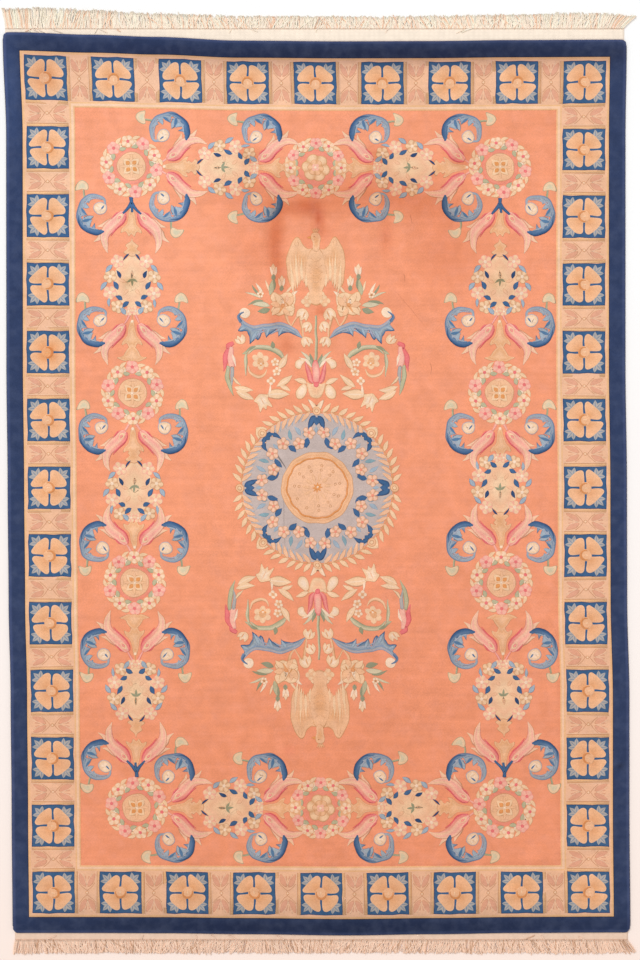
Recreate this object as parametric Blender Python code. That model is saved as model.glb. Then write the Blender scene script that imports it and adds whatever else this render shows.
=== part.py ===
"""Hand-knotted pile rug with carved borders, woven end webs, cut warp fringes and overcast sides.

Frame: metres, +Z up. The origin is on the floor under the middle of the pile. X runs across the rug,
+Y runs along it to the far end, and the underside of every piece lies at z = 0.
"""

import math
import random

import bmesh
import bpy
from mathutils import Vector

# Driving sizes of the knotted pile, in metres.
PILE_WIDTH = 2.485
PILE_LENGTH = 3.600
PILE_HEIGHT = 0.0125
CORNER_RADIUS = 0.020
HALF_WIDTH = PILE_WIDTH / 2
HALF_LENGTH = PILE_LENGTH / 2

# The pile stands widest at the knots' waist and leans in again at its cut tips.
WAIST_HEIGHT = 0.0050
SHOULDER_INSET = 0.0012
SHOULDER_HEIGHT = 0.0095
CROWN_INSET = 0.0060
FOUNDATION_INSET = 0.0030

# Carved lines: the plain guard border ends at the first, the tiled band at the second.
GUARD_WIDTH = 0.062
BAND_END = 0.275
GROOVE_HALF_WIDTH = 0.004
GROOVE_DEPTH = 0.0022
FIELD_STEPS_ACROSS = 44
FIELD_STEPS_ALONG = 20

# How far the hand-made outline wanders from a true rectangle.
# Sides: where along the rug, and how far the left and the right edge stand to the right of true.
SIDE_WANDER = (
    {"along": +1.80, "left": -0.029, "right": -0.010},
    {"along": +1.40, "left": -0.015, "right": -0.015},
    {"along": +0.50, "left": -0.014, "right": -0.015},
    {"along": +0.00, "left": -0.009, "right": -0.009},
    {"along": -0.45, "left": -0.005, "right": -0.008},
    {"along": -0.85, "left": +0.003, "right": +0.001},
    {"along": -1.30, "left": +0.007, "right": +0.001},
    {"along": -1.80, "left": +0.011, "right": +0.005},
)
# Ends: where across the rug, and how far the far and the near edge stand beyond true, along +Y.
END_WANDER = (
    {"across": -1.20, "far": +0.0355, "near": +0.0105},
    {"across": -0.90, "far": +0.0255, "near": +0.0105},
    {"across": -0.64, "far": +0.0165, "near": +0.0095},
    {"across": -0.30, "far": +0.0015, "near": +0.0055},
    {"across": +0.10, "far": -0.0015, "near": +0.0005},
    {"across": +0.45, "far": -0.0005, "near": +0.0055},
    {"across": +0.80, "far": +0.0035, "near": +0.0105},
    {"across": +1.20, "far": +0.0055, "near": +0.0125},
)
END_REACH = 9.0
# The far fringe is the longer one, so the pile's middle lies this far along from the origin.
PILE_MIDDLE = -0.0135

# Overcast cord along each long side.
SELVEDGE_RADIUS = 0.0035
SELVEDGE_STEPS = 24
PIECE_GAP = 0.0004

# Woven end webs and the warp ends left as fringe, combed into locks.
WEB_THICKNESS = 0.0030
WEB_END_INSET = 0.003
LOCKS = 140
LOCK_STEPS = 3
LOCK_ROOT_WIDTH = 0.0095
LOCK_TIP_WIDTH = 0.0050
LOCK_BELLY_HEIGHT = 0.0046
LOCK_TIP_HEIGHT = 0.0026
LENGTH_SPREAD = 0.006
LEAN_SPREAD = 0.0018
LEAN_POWER = 1.4
FRINGES = (
    {"name": "fringe_far", "way": +1, "web_edge": 1.8415, "length": 0.0490, "seed": 5},
    {"name": "fringe_near", "way": -1, "web_edge": 1.8395, "length": 0.0510, "seed": 9},
)
# How far the lock tips lean to the right, by place across each end.
TIP_LEAN = (
    {"across": -1.25, "far": -0.0170, "near": -0.010},
    {"across": -1.16, "far": -0.010, "near": +0.008},
    {"across": -1.00, "far": +0.014, "near": +0.012},
    {"across": -0.72, "far": -0.010, "near": +0.010},
    {"across": -0.40, "far": -0.014, "near": -0.012},
    {"across": -0.10, "far": +0.010, "near": +0.010},
    {"across": +0.20, "far": -0.012, "near": -0.012},
    {"across": +0.55, "far": -0.012, "near": -0.010},
    {"across": +0.85, "far": -0.008, "near": +0.012},
    {"across": +1.12, "far": +0.014, "near": +0.008},
    {"across": +1.25, "far": +0.0545, "near": +0.036},
)

NAVY_WOOL = (0.038, 0.060, 0.125, 1.0)
DARK_WOOL = (0.026, 0.022, 0.070, 1.0)
CREAM_COTTON = (0.760, 0.600, 0.450, 1.0)


def eased(table, key, column, at):
    """The table's column at a place, eased from row to row with a smooth step and held past its ends."""
    rows = sorted(table, key=lambda row: row[key])
    if at <= rows[0][key]:
        return rows[0][column]
    for low, high in zip(rows, rows[1:]):
        if at <= high[key]:
            share = (at - low[key]) / (high[key] - low[key])
            share = share * share * (3 - 2 * share)
            return low[column] + share * (high[column] - low[column])
    return rows[-1][column]


def lay(x, y):
    """Carries a point of the true rectangle to where the uneven rug has it.

    Across, it blends the wander of the two sides. Along, the wander of each end fades with a power
    of the distance from that end.
    """
    right_share = (x / HALF_WIDTH + 1) / 2
    far_share = (y / HALF_LENGTH + 1) / 2
    across = (1 - right_share) * eased(SIDE_WANDER, "along", "left", y)
    across += right_share * eased(SIDE_WANDER, "along", "right", y)
    along = max(0.0, far_share) ** END_REACH * eased(END_WANDER, "across", "far", x)
    along += max(0.0, 1 - far_share) ** END_REACH * eased(END_WANDER, "across", "near", x)
    return x + across, y + along + PILE_MIDDLE


def round_corner(x, y):
    """Bends the square corners of the grid into quarter discs, leaving the rest of it alone."""
    cx = HALF_WIDTH - CORNER_RADIUS
    cy = HALF_LENGTH - CORNER_RADIUS
    if abs(x) <= cx or abs(y) <= cy:
        return x, y
    a = (abs(x) - cx) / CORNER_RADIUS
    b = (abs(y) - cy) / CORNER_RADIUS
    disc_x = cx + CORNER_RADIUS * a * math.sqrt(1 - b * b / 2)
    disc_y = cy + CORNER_RADIUS * b * math.sqrt(1 - a * a / 2)
    return math.copysign(disc_x, x), math.copysign(disc_y, y)


def depth_inside(x, y):
    """Distance of a point inside the round-cornered outline."""
    qx = abs(x) - (HALF_WIDTH - CORNER_RADIUS)
    qy = abs(y) - (HALF_LENGTH - CORNER_RADIUS)
    outside = math.hypot(max(qx, 0.0), max(qy, 0.0))
    return CORNER_RADIUS - outside - min(max(qx, qy), 0.0)


def edge_height(depth):
    """Height of the pile's surface at a depth inside the outline: waist, shoulder, then crown."""
    steps = (
        (0.0, WAIST_HEIGHT),
        (SHOULDER_INSET, SHOULDER_HEIGHT),
        (CROWN_INSET, PILE_HEIGHT),
    )
    if depth <= 0:
        return WAIST_HEIGHT
    for (low, low_z), (high, high_z) in zip(steps, steps[1:]):
        if depth <= high:
            return low_z + (high_z - low_z) * (depth - low) / (high - low)
    return PILE_HEIGHT


def carved(x, y):
    """Depth of the V-shaped carved lines that part the borders, which run square round the rug."""
    inset = min(HALF_WIDTH - abs(x), HALF_LENGTH - abs(y))
    deepest = 0.0
    for line in (GUARD_WIDTH, BAND_END):
        share = 1 - abs(inset - line) / GROOVE_HALF_WIDTH
        deepest = max(deepest, GROOVE_DEPTH * share)
    return deepest


def grid_lines(half, field_steps):
    """Places of the grid's lines along one axis: the pile's edge, both carved lines, then the field."""
    insets = [0.0, SHOULDER_INSET, CROWN_INSET, CORNER_RADIUS]
    for line in (GUARD_WIDTH, BAND_END):
        insets += [line - GROOVE_HALF_WIDTH, line, line + GROOVE_HALF_WIDTH]
    side = [half - inset for inset in insets]
    field = side[-1]
    inner = [field - 2 * field * k / field_steps for k in range(1, field_steps)]
    return sorted([-place for place in side] + inner + side)


def pile_edge(x, way):
    """The point of an end of the pile at x, on the straight run between the two nearest grid lines."""
    xs = grid_lines(HALF_WIDTH, FIELD_STEPS_ACROSS)
    low = max(line for line in xs if line <= x)
    high = min(line for line in xs if line > x)
    low_x, low_y = lay(low, way * HALF_LENGTH)
    high_x, high_y = lay(high, way * HALF_LENGTH)
    share = (x - low) / (high - low)
    return low_x + share * (high_x - low_x), low_y + share * (high_y - low_y)


def wool(name, colour, roughness):
    """A Principled material for dyed wool or cotton yarn, which has no metal in it."""
    material = bpy.data.materials.new(name)
    material.use_nodes = True
    shader = material.node_tree.nodes["Principled BSDF"]
    shader.inputs["Base Color"].default_value = colour
    shader.inputs["Roughness"].default_value = roughness
    shader.inputs["Metallic"].default_value = 0.0
    return material


def place_object(name, data, material, parent):
    """Links a new object with its own material under the rug's empty."""
    piece = bpy.data.objects.new(name, data)
    bpy.context.collection.objects.link(piece)
    data.materials.append(material)
    piece.parent = parent
    return piece


def build_pile(parent):
    """The knotted body: a fine grid for the cut surface, drawn down to the foundation and closed below."""
    xs = grid_lines(HALF_WIDTH, FIELD_STEPS_ACROSS)
    ys = grid_lines(HALF_LENGTH, FIELD_STEPS_ALONG)
    bm = bmesh.new()
    rows = []
    for y in ys:
        row = []
        for x in xs:
            rx, ry = round_corner(x, y)
            height = edge_height(depth_inside(rx, ry)) - carved(rx, ry)
            row.append(bm.verts.new((*lay(rx, ry), height)))
        rows.append(row)
    for low, high in zip(rows, rows[1:]):
        for k in range(len(xs) - 1):
            bm.faces.new((low[k], low[k + 1], high[k + 1], high[k]))
    rim = [edge for edge in bm.edges if edge.is_boundary]
    pulled = bmesh.ops.extrude_edge_only(bm, edges=rim)["geom"]
    foot = [item for item in pulled if isinstance(item, bmesh.types.BMVert)]
    for vert in foot:
        vert.co.x -= math.copysign(FOUNDATION_INSET, vert.co.x)
        vert.co.y -= math.copysign(FOUNDATION_INSET, vert.co.y)
        vert.co.z = 0.0
    bmesh.ops.holes_fill(bm, edges=[edge for edge in bm.edges if edge.is_boundary])
    bmesh.ops.recalc_face_normals(bm, faces=bm.faces)
    mesh = bpy.data.meshes.new("rug_pile")
    bm.to_mesh(mesh)
    bm.free()
    mesh.shade_smooth()
    mesh.set_sharp_from_angle(angle=math.radians(40))
    return place_object("rug_pile", mesh, wool("navy wool pile", NAVY_WOOL, 0.9), parent)


def build_selvedge(name, side, parent):
    """The cord of overcast wool along one long side, a round bar that follows the uneven edge."""
    curve = bpy.data.curves.new(name, "CURVE")
    curve.dimensions = "3D"
    curve.bevel_depth = SELVEDGE_RADIUS
    curve.bevel_resolution = 1
    curve.use_fill_caps = True
    spline = curve.splines.new("POLY")
    spline.points.add(SELVEDGE_STEPS)
    reach = HALF_LENGTH - CORNER_RADIUS
    resting = SELVEDGE_RADIUS * math.cos(math.pi / 6)  # the bar is six-sided, with a flat side down
    for k, point in enumerate(spline.points):
        y = reach * (2 * k / SELVEDGE_STEPS - 1)
        x, y = lay(side * HALF_WIDTH, y)
        outward = side * (PIECE_GAP + SELVEDGE_RADIUS)
        point.co = (x + outward, y, resting, 1.0)
    return place_object(name, curve, wool(name + " wool", DARK_WOOL, 0.8), parent)


def lock_rings(root, way, length, lean):
    """Triangular rings of one lock of fringe, from its root outwards, each flat on the floor."""
    rings = []
    for step in range(LOCK_STEPS + 1):
        share = step / LOCK_STEPS
        middle = root + Vector((lean * share**LEAN_POWER, way * length * share, 0))
        width = LOCK_ROOT_WIDTH + (LOCK_TIP_WIDTH - LOCK_ROOT_WIDTH) * share
        if step == 0:
            height = WEB_THICKNESS
        else:
            height = LOCK_BELLY_HEIGHT + (LOCK_TIP_HEIGHT - LOCK_BELLY_HEIGHT) * share
        side = Vector((width / 2, 0, 0))
        rings.append((middle - side, middle + side, middle + Vector((0, 0, height))))
    return rings


def build_fringe(fringe, parent):
    """An end web with its fringe. Each lock grows from its own triangle of the web's outer edge, so
    the web and its locks are one closed body without any joining afterwards."""
    end = "far" if fringe["way"] > 0 else "near"
    way = fringe["way"]
    chance = random.Random(fringe["seed"])
    bm = bmesh.new()
    first = -HALF_WIDTH + WEB_END_INSET + LOCK_ROOT_WIDTH / 2
    pitch = -2 * first / (LOCKS - 1)
    inner_low, inner_high, outer_low, outer_high = [], [], [], []
    for k in range(LOCKS):
        x = first + k * pitch
        edge_x, edge_y = pile_edge(x, way)
        inner = Vector((edge_x, edge_y + way * PIECE_GAP, 0))
        root = Vector((edge_x, way * fringe["web_edge"], 0))
        length = fringe["length"] + chance.uniform(-LENGTH_SPREAD, LENGTH_SPREAD)
        lean = eased(TIP_LEAN, "across", end, x) + chance.uniform(-LEAN_SPREAD, LEAN_SPREAD)
        rings = [
            [bm.verts.new(corner) for corner in ring]
            for ring in lock_rings(root, way, length, lean)
        ]
        for low, high in zip(rings, rings[1:]):
            for a, b in ((0, 1), (1, 2), (2, 0)):
                bm.faces.new((low[a], low[b], high[b], high[a]))
        bm.faces.new(rings[-1])
        left, right, top = rings[0]
        outer_low.append((left, right))
        outer_high.append(top)
        inner_low.append(bm.verts.new(inner))
        inner_high.append(bm.verts.new(inner + Vector((0, 0, WEB_THICKNESS))))
    for k in range(LOCKS):
        left, right = outer_low[k]
        bm.faces.new((inner_low[k], left, right))
        if k == LOCKS - 1:
            break
        bm.faces.new((inner_low[k], right, outer_low[k + 1][0], inner_low[k + 1]))
        bm.faces.new((inner_high[k], inner_high[k + 1], outer_high[k + 1], outer_high[k]))
        bm.faces.new((inner_low[k], inner_low[k + 1], inner_high[k + 1], inner_high[k]))
        bm.faces.new((right, outer_low[k + 1][0], outer_high[k + 1], outer_high[k]))
    bm.faces.new((inner_low[0], outer_low[0][0], outer_high[0], inner_high[0]))
    bm.faces.new((inner_low[-1], outer_low[-1][1], outer_high[-1], inner_high[-1]))
    bmesh.ops.recalc_face_normals(bm, faces=bm.faces)
    mesh = bpy.data.meshes.new(fringe["name"])
    bm.to_mesh(mesh)
    bm.free()
    material = wool(fringe["name"] + " cotton", CREAM_COTTON, 0.95)
    return place_object(fringe["name"], mesh, material, parent)


def main():
    for old in list(bpy.data.objects):
        bpy.data.objects.remove(old)
    rug = bpy.data.objects.new("rug", None)
    bpy.context.collection.objects.link(rug)
    build_pile(rug)
    build_selvedge("selvedge_left", -1, rug)
    build_selvedge("selvedge_right", +1, rug)
    for fringe in FRINGES:
        build_fringe(fringe, rug)


main()
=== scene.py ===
"""Pile rug on a pale floor: carved wool pile with a tiled border, a garland of wreaths and a medallion.

The design is drawn in knots, as on a weaver's squared cartoon, counted from the middle of the rug with
+X to the right and +Y to the far end. One smooth function then lays the true rectangle out to the uneven
shape that the hand-made rug has, the same as in the CAD model. Heights in the design are millimetres above
the top of the pile.
"""

import math
from typing import NamedTuple

import bpy
import numpy as np
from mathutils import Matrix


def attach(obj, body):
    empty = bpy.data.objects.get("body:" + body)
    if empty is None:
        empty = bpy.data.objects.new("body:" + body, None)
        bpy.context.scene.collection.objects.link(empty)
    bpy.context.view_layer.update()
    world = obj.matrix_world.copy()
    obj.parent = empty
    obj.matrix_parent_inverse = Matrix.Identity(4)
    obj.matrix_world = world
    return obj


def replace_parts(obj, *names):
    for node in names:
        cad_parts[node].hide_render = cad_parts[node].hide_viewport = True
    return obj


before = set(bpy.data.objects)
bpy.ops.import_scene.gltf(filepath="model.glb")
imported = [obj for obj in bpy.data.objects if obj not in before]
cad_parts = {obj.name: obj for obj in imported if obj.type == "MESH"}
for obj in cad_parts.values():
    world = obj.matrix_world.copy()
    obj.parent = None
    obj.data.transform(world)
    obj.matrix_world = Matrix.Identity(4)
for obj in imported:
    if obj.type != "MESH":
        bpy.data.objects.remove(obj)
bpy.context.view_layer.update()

bl_info = {
    "name": "Pile rug", "version": (1, 0, 0), "blender": (4, 5, 0), "location": "3D View > Sidebar > Rug",
    "description": "Builds a carved wool pile rug with its fringes, floor, light and camera",
    "category": "Add Mesh",
}

# Sizes in metres, the same as the CAD model's.
KNOT = 0.00403
PILE_WIDTH = 2.485
PILE_LENGTH = 3.600
PILE_HEIGHT = 0.0125
CORNER_RADIUS = 0.020
HALF_WIDTH = PILE_WIDTH / 2
HALF_LENGTH = PILE_LENGTH / 2
SHOULDER_INSET = 0.0012
CROWN_INSET = 0.0060
PIECE_GAP = 0.0004
SELVEDGE_RADIUS = 0.0035
WEB_THICKNESS = 0.0030
WEB_END_INSET = 0.003


def table(columns, rows):
    """The rows of a table as dictionaries, by the names of its columns."""
    return [dict(zip(columns.split(), row)) for row in rows]


# How far the outline wanders from a true rectangle, the same as in the CAD model.
SIDE_WANDER = table(
    "along left right",
    [
        (+1.80, -0.029, -0.010), (+1.40, -0.015, -0.015), (+0.50, -0.014, -0.015), (+0.00, -0.009, -0.009),
        (-0.45, -0.005, -0.008), (-0.85, +0.003, +0.001), (-1.30, +0.007, +0.001), (-1.80, +0.011, +0.005),
    ],
)
END_WANDER = table(
    "across far near",
    [
        (-1.20, +0.0355, +0.0105), (-0.90, +0.0255, +0.0105), (-0.64, +0.0165, +0.0095),
        (-0.30, +0.0015, +0.0055), (+0.10, -0.0015, +0.0005), (+0.45, -0.0005, +0.0055),
        (+0.80, +0.0035, +0.0105), (+1.20, +0.0055, +0.0125),
    ],
)
END_REACH = 9.0
PILE_MIDDLE = -0.0135

# Half sizes of the knotted pile, in knots.
HALF_ACROSS = HALF_WIDTH / KNOT
HALF_ALONG = HALF_LENGTH / KNOT

# Dyed wools and cottons.
WOOLS = {
    # The navy's lighter and darker variants stand for a painted highlight of the pile's sheen and painted
    # shade.
    "field": "#f29b75", "navy": "#2f3d5f", "navy light": "#3d4a70", "navy edge": "#23273f",
    "gold": "#edb988", "gold shade": "#cf9462", "band": "#efbb98", "band light": "#f3c7a6",
    "tile blue": "#3c5f86", "tile edge": "#2a4168", "petal": "#f0b78c", "petal shade": "#e5a06c",
    "petal edge": "#f4c9a3", "amber": "#d98a50", "grey blue": "#a3adb4", "warm grey": "#b4aca6",
    "slate": "#8b9299", "vein blue": "#55789c", "dusty rose": "#e3a587", "rose line": "#d39a76",
    "cream": "#f2c9a2", "pale cream": "#f6d8bd", "rose cream": "#f6d2b2", "blush": "#f3c2a6",
    "peach": "#f0bb96", "light pink": "#f5b8a3", "pink": "#f29a8e", "deep pink": "#ea7977",
    "red pink": "#de5f66", "salmon": "#ee937a", "sage": "#bdb592", "deep sage": "#98977a",
    "pale sage": "#d8c8a8", "blue": "#43658d", "deep blue": "#30496f", "mid blue": "#8093ac",
    "lilac": "#a8a5b5", "teal": "#87a3aa", "light blue": "#a3b0bb", "mauve": "#c4b1aa", "tan": "#c58d62",
    "honey": "#e7ac7e", "honey light": "#f0bb92", "orange": "#e59a5c", "warp": "#fdead8",
    "warp shade": "#d9b194", "selvedge": "#2c3350", "canvas": "#d9c3a4",
}

# Lines and bands of the ground, by how many knots in from the pile's edge each one ends. The navy's lighter
# outermost band is a painted highlight of the pile's sheen, and its darker line at the carved groove is
# painted shade.
ZONES = table(
    "to wool",
    [
        (2.6, "navy light"), (14.6, "navy"), (15.2, "navy edge"), (17.4, "gold"), (62.6, "band"),
        (64.0, "gold"), (66.4, "band light"), (67.8, "gold"), (900.0, "field"),
    ],
)
# Half the distance over which one zone's wool gives way to the next, in knots.
ZONE_BLUR = 0.12
# V cuts round the whole rug: how far in from the edge, half the width, in knots, and the depth.
CARVED_LINES = (14.9, 68.0)
CARVED_HALF_WIDTH = 1.0
CARVED_DEPTH_MM = 2.2
# Spacing of the ground's grid lines in the field, in knots.
GROUND_STEP = 4.5

# The pile's edge in section, in metres: how far in from the outline each point is, and how high.
EDGE_INSETS = (0, SHOULDER_INSET, 0.0035, CROWN_INSET)
EDGE_HEIGHTS = (0.0078, 0.0098, 0.0116, PILE_HEIGHT)
# How far the foot of the pile stands in from its edge, so that the side cords lie beside it.
FOOT_INSET = 0.009
PILE_CORNER = 0.014
# The shoulder leans out by this much at the sides, and by these shares of it at the two ends. It fades over
# the outer knots of the pile.
PILE_OVERHANG = 0.0045
FAR_OVERHANG = 0.5
NEAR_OVERHANG = 1.3
OVERHANG_FADE = 3.0

# The pattern is pulled in at the far border: how far, where that starts along the rug, over what length it
# grows, and over what length it fades again at the pile's end. All in knots.
END_SLIP = 1.6
SLIP_START = 300.0
SLIP_GROWTH = 70.0
SLIP_FADE = 9.0

# Height of one layer of the design over the next, and how deep each motif's rim is sunk into the pile.
LAYER_MM = 0.30
SINK_MM = -0.6
# The ground's points below this height belong to its foot, which stays level.
FOOT_TOP_MM = -5
# Grid lines of the ground closer than this, in knots, are one.
LINE_MERGE = 0.05

# The tiled band, in knots: its middle line's distance from the pile's edge, and half a tile's side.
TILE_INSET = 40.2
TILE_HALF = 21.4
TILES_ALONG = 13
TILES_ACROSS = 9

# The medallion's ground, in knots. Wreaths higher than the row's bound are in the far row, and those to the
# right of the column's bound aren't in the left column.
MEDALLION_RADIUS = 76
ROW_FROM = 300
COLUMN_TO = -180
# The garland's units run from a wreath towards the middle of their side. Turns carry "down" to "onwards".
# One row per wreath of a quarter: where it stands and which kind it is.
WREATHS = table(
    "x y kind",
    [
        (-184.3, +320.6, "rose"), (-92.0, +320.3, "blue"), (+0.0, +320.3, "rose"), (-184.0, +206.6, "blue"),
        (-183.6, +94.8, "rose"), (-183.0, 0.0, "blue"),
    ],
)
# One row per unit of a quarter: its wreath, its turn, how far it is drawn on from it, and its forms.
UNITS = table(
    "x y turn shift inner bell stem",
    [
        (-184.3, +320.6, 90, -7.5, True, False, "pink"), (-92.0, +320.3, 90, -7.5, True, True, "red"),
        (-184.3, +320.6, 0, +2.5, False, False, "fork"), (-184.0, +206.6, 0, +0.0, True, True, "red"),
        (-183.6, +94.8, 0, -5.0, True, False, "pink"),
    ],
)


class Patch(NamedTuple):
    """A piece of the design: points in knots with heights in millimetres, quads, caps and a dye a point."""

    points: np.ndarray
    quads: np.ndarray
    caps: list
    dyes: np.ndarray


def srgb(code):
    """The linear red, green and blue of a colour written as #rrggbb."""
    share = np.array([int(code[k : k + 2], 16) for k in (1, 3, 5)]) / 255
    return np.where(share <= 0.04045, share / 12.92, ((share + 0.055) / 1.055) ** 2.4)


DYES = {name: srgb(code) for name, code in WOOLS.items()}


def eased(rows, key, column, at):
    """A table's column at many places, eased from row to row with a smooth step, held past its ends."""
    rows = sorted(rows, key=lambda row: row[key])
    places = np.array([row[key] for row in rows])
    values = np.array([row[column] for row in rows])
    at = np.clip(at, places[0], places[-1])
    high = np.clip(np.searchsorted(places, at), 1, len(rows) - 1)
    share = (at - places[high - 1]) / (places[high] - places[high - 1])
    share = share * share * (3 - 2 * share)
    return values[high - 1] + share * (values[high] - values[high - 1])


def lay(xy):
    """Carries points of the true rectangle, in metres, to where the uneven rug has them.

    Across, x' = x + (1 - r) left(y) + r right(y), with r the share of the way to the right edge.
    Along, y' = y + f^n far(x) + (1 - f)^n near(x) + the middle's offset, with f the share of the way to
    the far end and n the reach.
    """
    x, y = xy[:, 0], xy[:, 1]
    right = (x / HALF_WIDTH + 1) / 2
    far = np.clip((y / HALF_LENGTH + 1) / 2, 0, 1)
    across = (1 - right) * eased(SIDE_WANDER, "along", "left", y)
    across = across + right * eased(SIDE_WANDER, "along", "right", y)
    along = far**END_REACH * eased(END_WANDER, "across", "far", x)
    along = along + (1 - far) ** END_REACH * eased(END_WANDER, "across", "near", x)
    return np.stack([x + across, y + along + PILE_MIDDLE], axis=1)


def shell(points, dyes):
    """A closed shell from a grid of points, rows by columns: the last column joins the first, and one face
    closes the first row and another the last."""
    rows, columns = points.shape[:2]
    index = np.arange(rows * columns).reshape(rows, columns)
    ahead = np.roll(index, -1, axis=1)
    quads = np.stack([index[:-1], index[1:], ahead[1:], ahead[:-1]], axis=-1).reshape(-1, 4)
    return Patch(points.reshape(-1, 3), quads, [index[0], index[-1][::-1]], dyes.reshape(-1, 3))


def merged(patches):
    """One patch of many."""
    start = np.cumsum([0] + [len(patch.points) for patch in patches[:-1]])
    return Patch(
        np.concatenate([patch.points for patch in patches]),
        np.concatenate([patch.quads + first for patch, first in zip(patches, start)]),
        [cap + first for patch, first in zip(patches, start) for cap in patch.caps],
        np.concatenate([patch.dyes for patch in patches]),
    )


def placed(patch, x, y, turn=0.0, size=1.0, flip=False, lift=0):
    """A copy of a patch, mirrored across its own Y axis if flip is set, then scaled, turned, moved and
    lifted by a number of layers. Its sunken rim stays where it is."""
    angle = math.radians(turn)
    points = patch.points.copy()
    local = points[:, :2] * size * np.array([-1.0 if flip else 1.0, 1.0])
    points[:, 0] = x + math.cos(angle) * local[:, 0] - math.sin(angle) * local[:, 1]
    points[:, 1] = y + math.sin(angle) * local[:, 0] + math.cos(angle) * local[:, 1]
    points[points[:, 2] > SINK_MM + 1e-6, 2] += lift * LAYER_MM
    if not flip:
        return Patch(points, patch.quads, patch.caps, patch.dyes)
    return Patch(points, patch.quads[:, ::-1], [cap[::-1] for cap in patch.caps], patch.dyes)


def raised(patch, layers):
    """The patch lifted by a number of layers where it is."""
    return placed(patch, 0, 0, lift=layers)


def curve_through(points, count, closed=False):
    """Catmull-Rom curve: between two points p1 and p2 it is half of
    2 p1 + (p2 - p0) t + (2 p0 - 5 p1 + 4 p2 - p3) t^2 + (3 p1 - p0 - 3 p2 + p3) t^3."""
    points = np.asarray(points, float)
    if closed:
        points = np.concatenate([points[-1:], points, points[:2]])
    else:
        points = np.concatenate([2 * points[:1] - points[1:2], points, 2 * points[-1:] - points[-2:-1]])
    spans = len(points) - 3
    at = np.linspace(0, spans, count, endpoint=not closed)
    span = np.minimum(at.astype(int), spans - 1)
    t = (at - span)[:, None]
    p0, p1, p2, p3 = (points[span + k] for k in range(4))
    cubic = (2 * p0 - 5 * p1 + 4 * p2 - p3) * t**2 + (3 * p1 - p0 - 3 * p2 + p3) * t**3
    return (2 * p1 + (p2 - p0) * t + cubic) / 2


def dye_rows(names, along):
    """Dyes for the rows of a grid. A name is one wool, and a pair of names goes from one to the other."""
    columns = []
    for name in names:
        first, last = (name, name) if isinstance(name, str) else name
        columns.append(DYES[first] + along[:, None] * (DYES[last] - DYES[first]))
    return np.stack(columns, axis=1)


def blob(outline, rings, centre=None, lift=0):
    """A cushion inside an outline: P(s, a) = c + s (outline(a) - c), with the height and dye of ring s.

    Here and below, lift is how many layers of the design it lies up, all but its sunken rim.
    """
    outline = np.asarray(outline, float)
    ahead = np.roll(outline, -1, axis=0)
    if np.sum(outline[:, 0] * ahead[:, 1] - outline[:, 1] * ahead[:, 0]) < 0:
        outline = outline[::-1]
    centre = outline.mean(axis=0) if centre is None else np.asarray(centre, float)
    rings = [(share, height + lift * LAYER_MM, wool) for share, height, wool in rings]
    rings.append((1.0, SINK_MM, rings[-1][2]))
    share = np.array([ring[0] for ring in rings])[:, None, None]
    xy = centre + share * (outline - centre)
    height = np.broadcast_to(np.array([ring[1] for ring in rings])[:, None, None], (*xy.shape[:2], 1))
    dyes = np.broadcast_to(np.array([DYES[ring[2]] for ring in rings])[:, None], (*xy.shape[:2], 3))
    return shell(np.concatenate([xy, height], axis=2), dyes)


def ribbon(path, left, right, rows, lift=0):
    """A band along a path: P(t, o) = path(t) + n(t) o left(t) where o > 0, or o right(t) where o < 0.

    Each row across is (o, height, wool or pair of wools). Both edges go on down to the sunken rim.
    """
    path = np.asarray(path, float)
    tangent = np.gradient(path, axis=0)
    tangent /= np.maximum(np.linalg.norm(tangent, axis=1, keepdims=True), 1e-9)
    normal = np.stack([-tangent[:, 1], tangent[:, 0]], axis=1)
    rows = [(offset, height + lift * LAYER_MM, wool) for offset, height, wool in rows]
    rows = [(rows[0][0], SINK_MM, rows[0][2]), *rows, (rows[-1][0], SINK_MM, rows[-1][2])]
    offset = np.array([row[0] for row in rows])
    reach = np.where(offset > 0, np.outer(left, offset), np.outer(right, offset))
    xy = path[:, None] + reach[..., None] * normal[:, None]
    height = np.broadcast_to(np.array([row[1] for row in rows])[None, :, None], (*xy.shape[:2], 1))
    along = np.linspace(0, 1, len(path))
    dyes = dye_rows([row[2] for row in rows], along)
    return shell(np.concatenate([xy, height], axis=2), dyes)


def spokes(angle):
    """Points one knot from the origin at the angles."""
    return np.stack([np.cos(angle), np.sin(angle)], axis=1)


def round_angles(count):
    """Angles evenly round a circle."""
    return np.linspace(0, 2 * np.pi, count, endpoint=False)


def circle(radius, count=24):
    """Points of a circle."""
    return radius * spokes(round_angles(count))


def polar(radius, degrees):
    """The point at an angle round the origin."""
    return radius * math.cos(math.radians(degrees)), radius * math.sin(math.radians(degrees))


def closed(points):
    """The points with the first one again at the end."""
    return np.concatenate([points, points[:1]])


def flat(wool, edge=None, height=0.1):
    """The rows of a ribbon with one wool, or with two from side to side."""
    return ((-1, height, wool), (1, height, edge or wool))


def ridge(edge, body, height=0.4, at=0.4, foot=0.1):
    """The rows of a ribbon with a raised body between two low edges."""
    return ((-1, foot, edge), (-at, height, body), (at, height, body), (1, foot, edge))


def disc(radius, wool, edge, height=0.3, count=24, lift=0):
    """A round cushion with a darker carved edge."""
    rim = max(0.05, 1 - 0.7 / max(radius, 1.0))
    return blob(
        circle(radius, count),
        [
            (0.3, height, wool), (rim, height * 0.9, wool), (0.5 + rim / 2, height * 0.6, edge),
            (0.99, 0.1, edge),
        ],
        lift=lift,
    )


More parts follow.
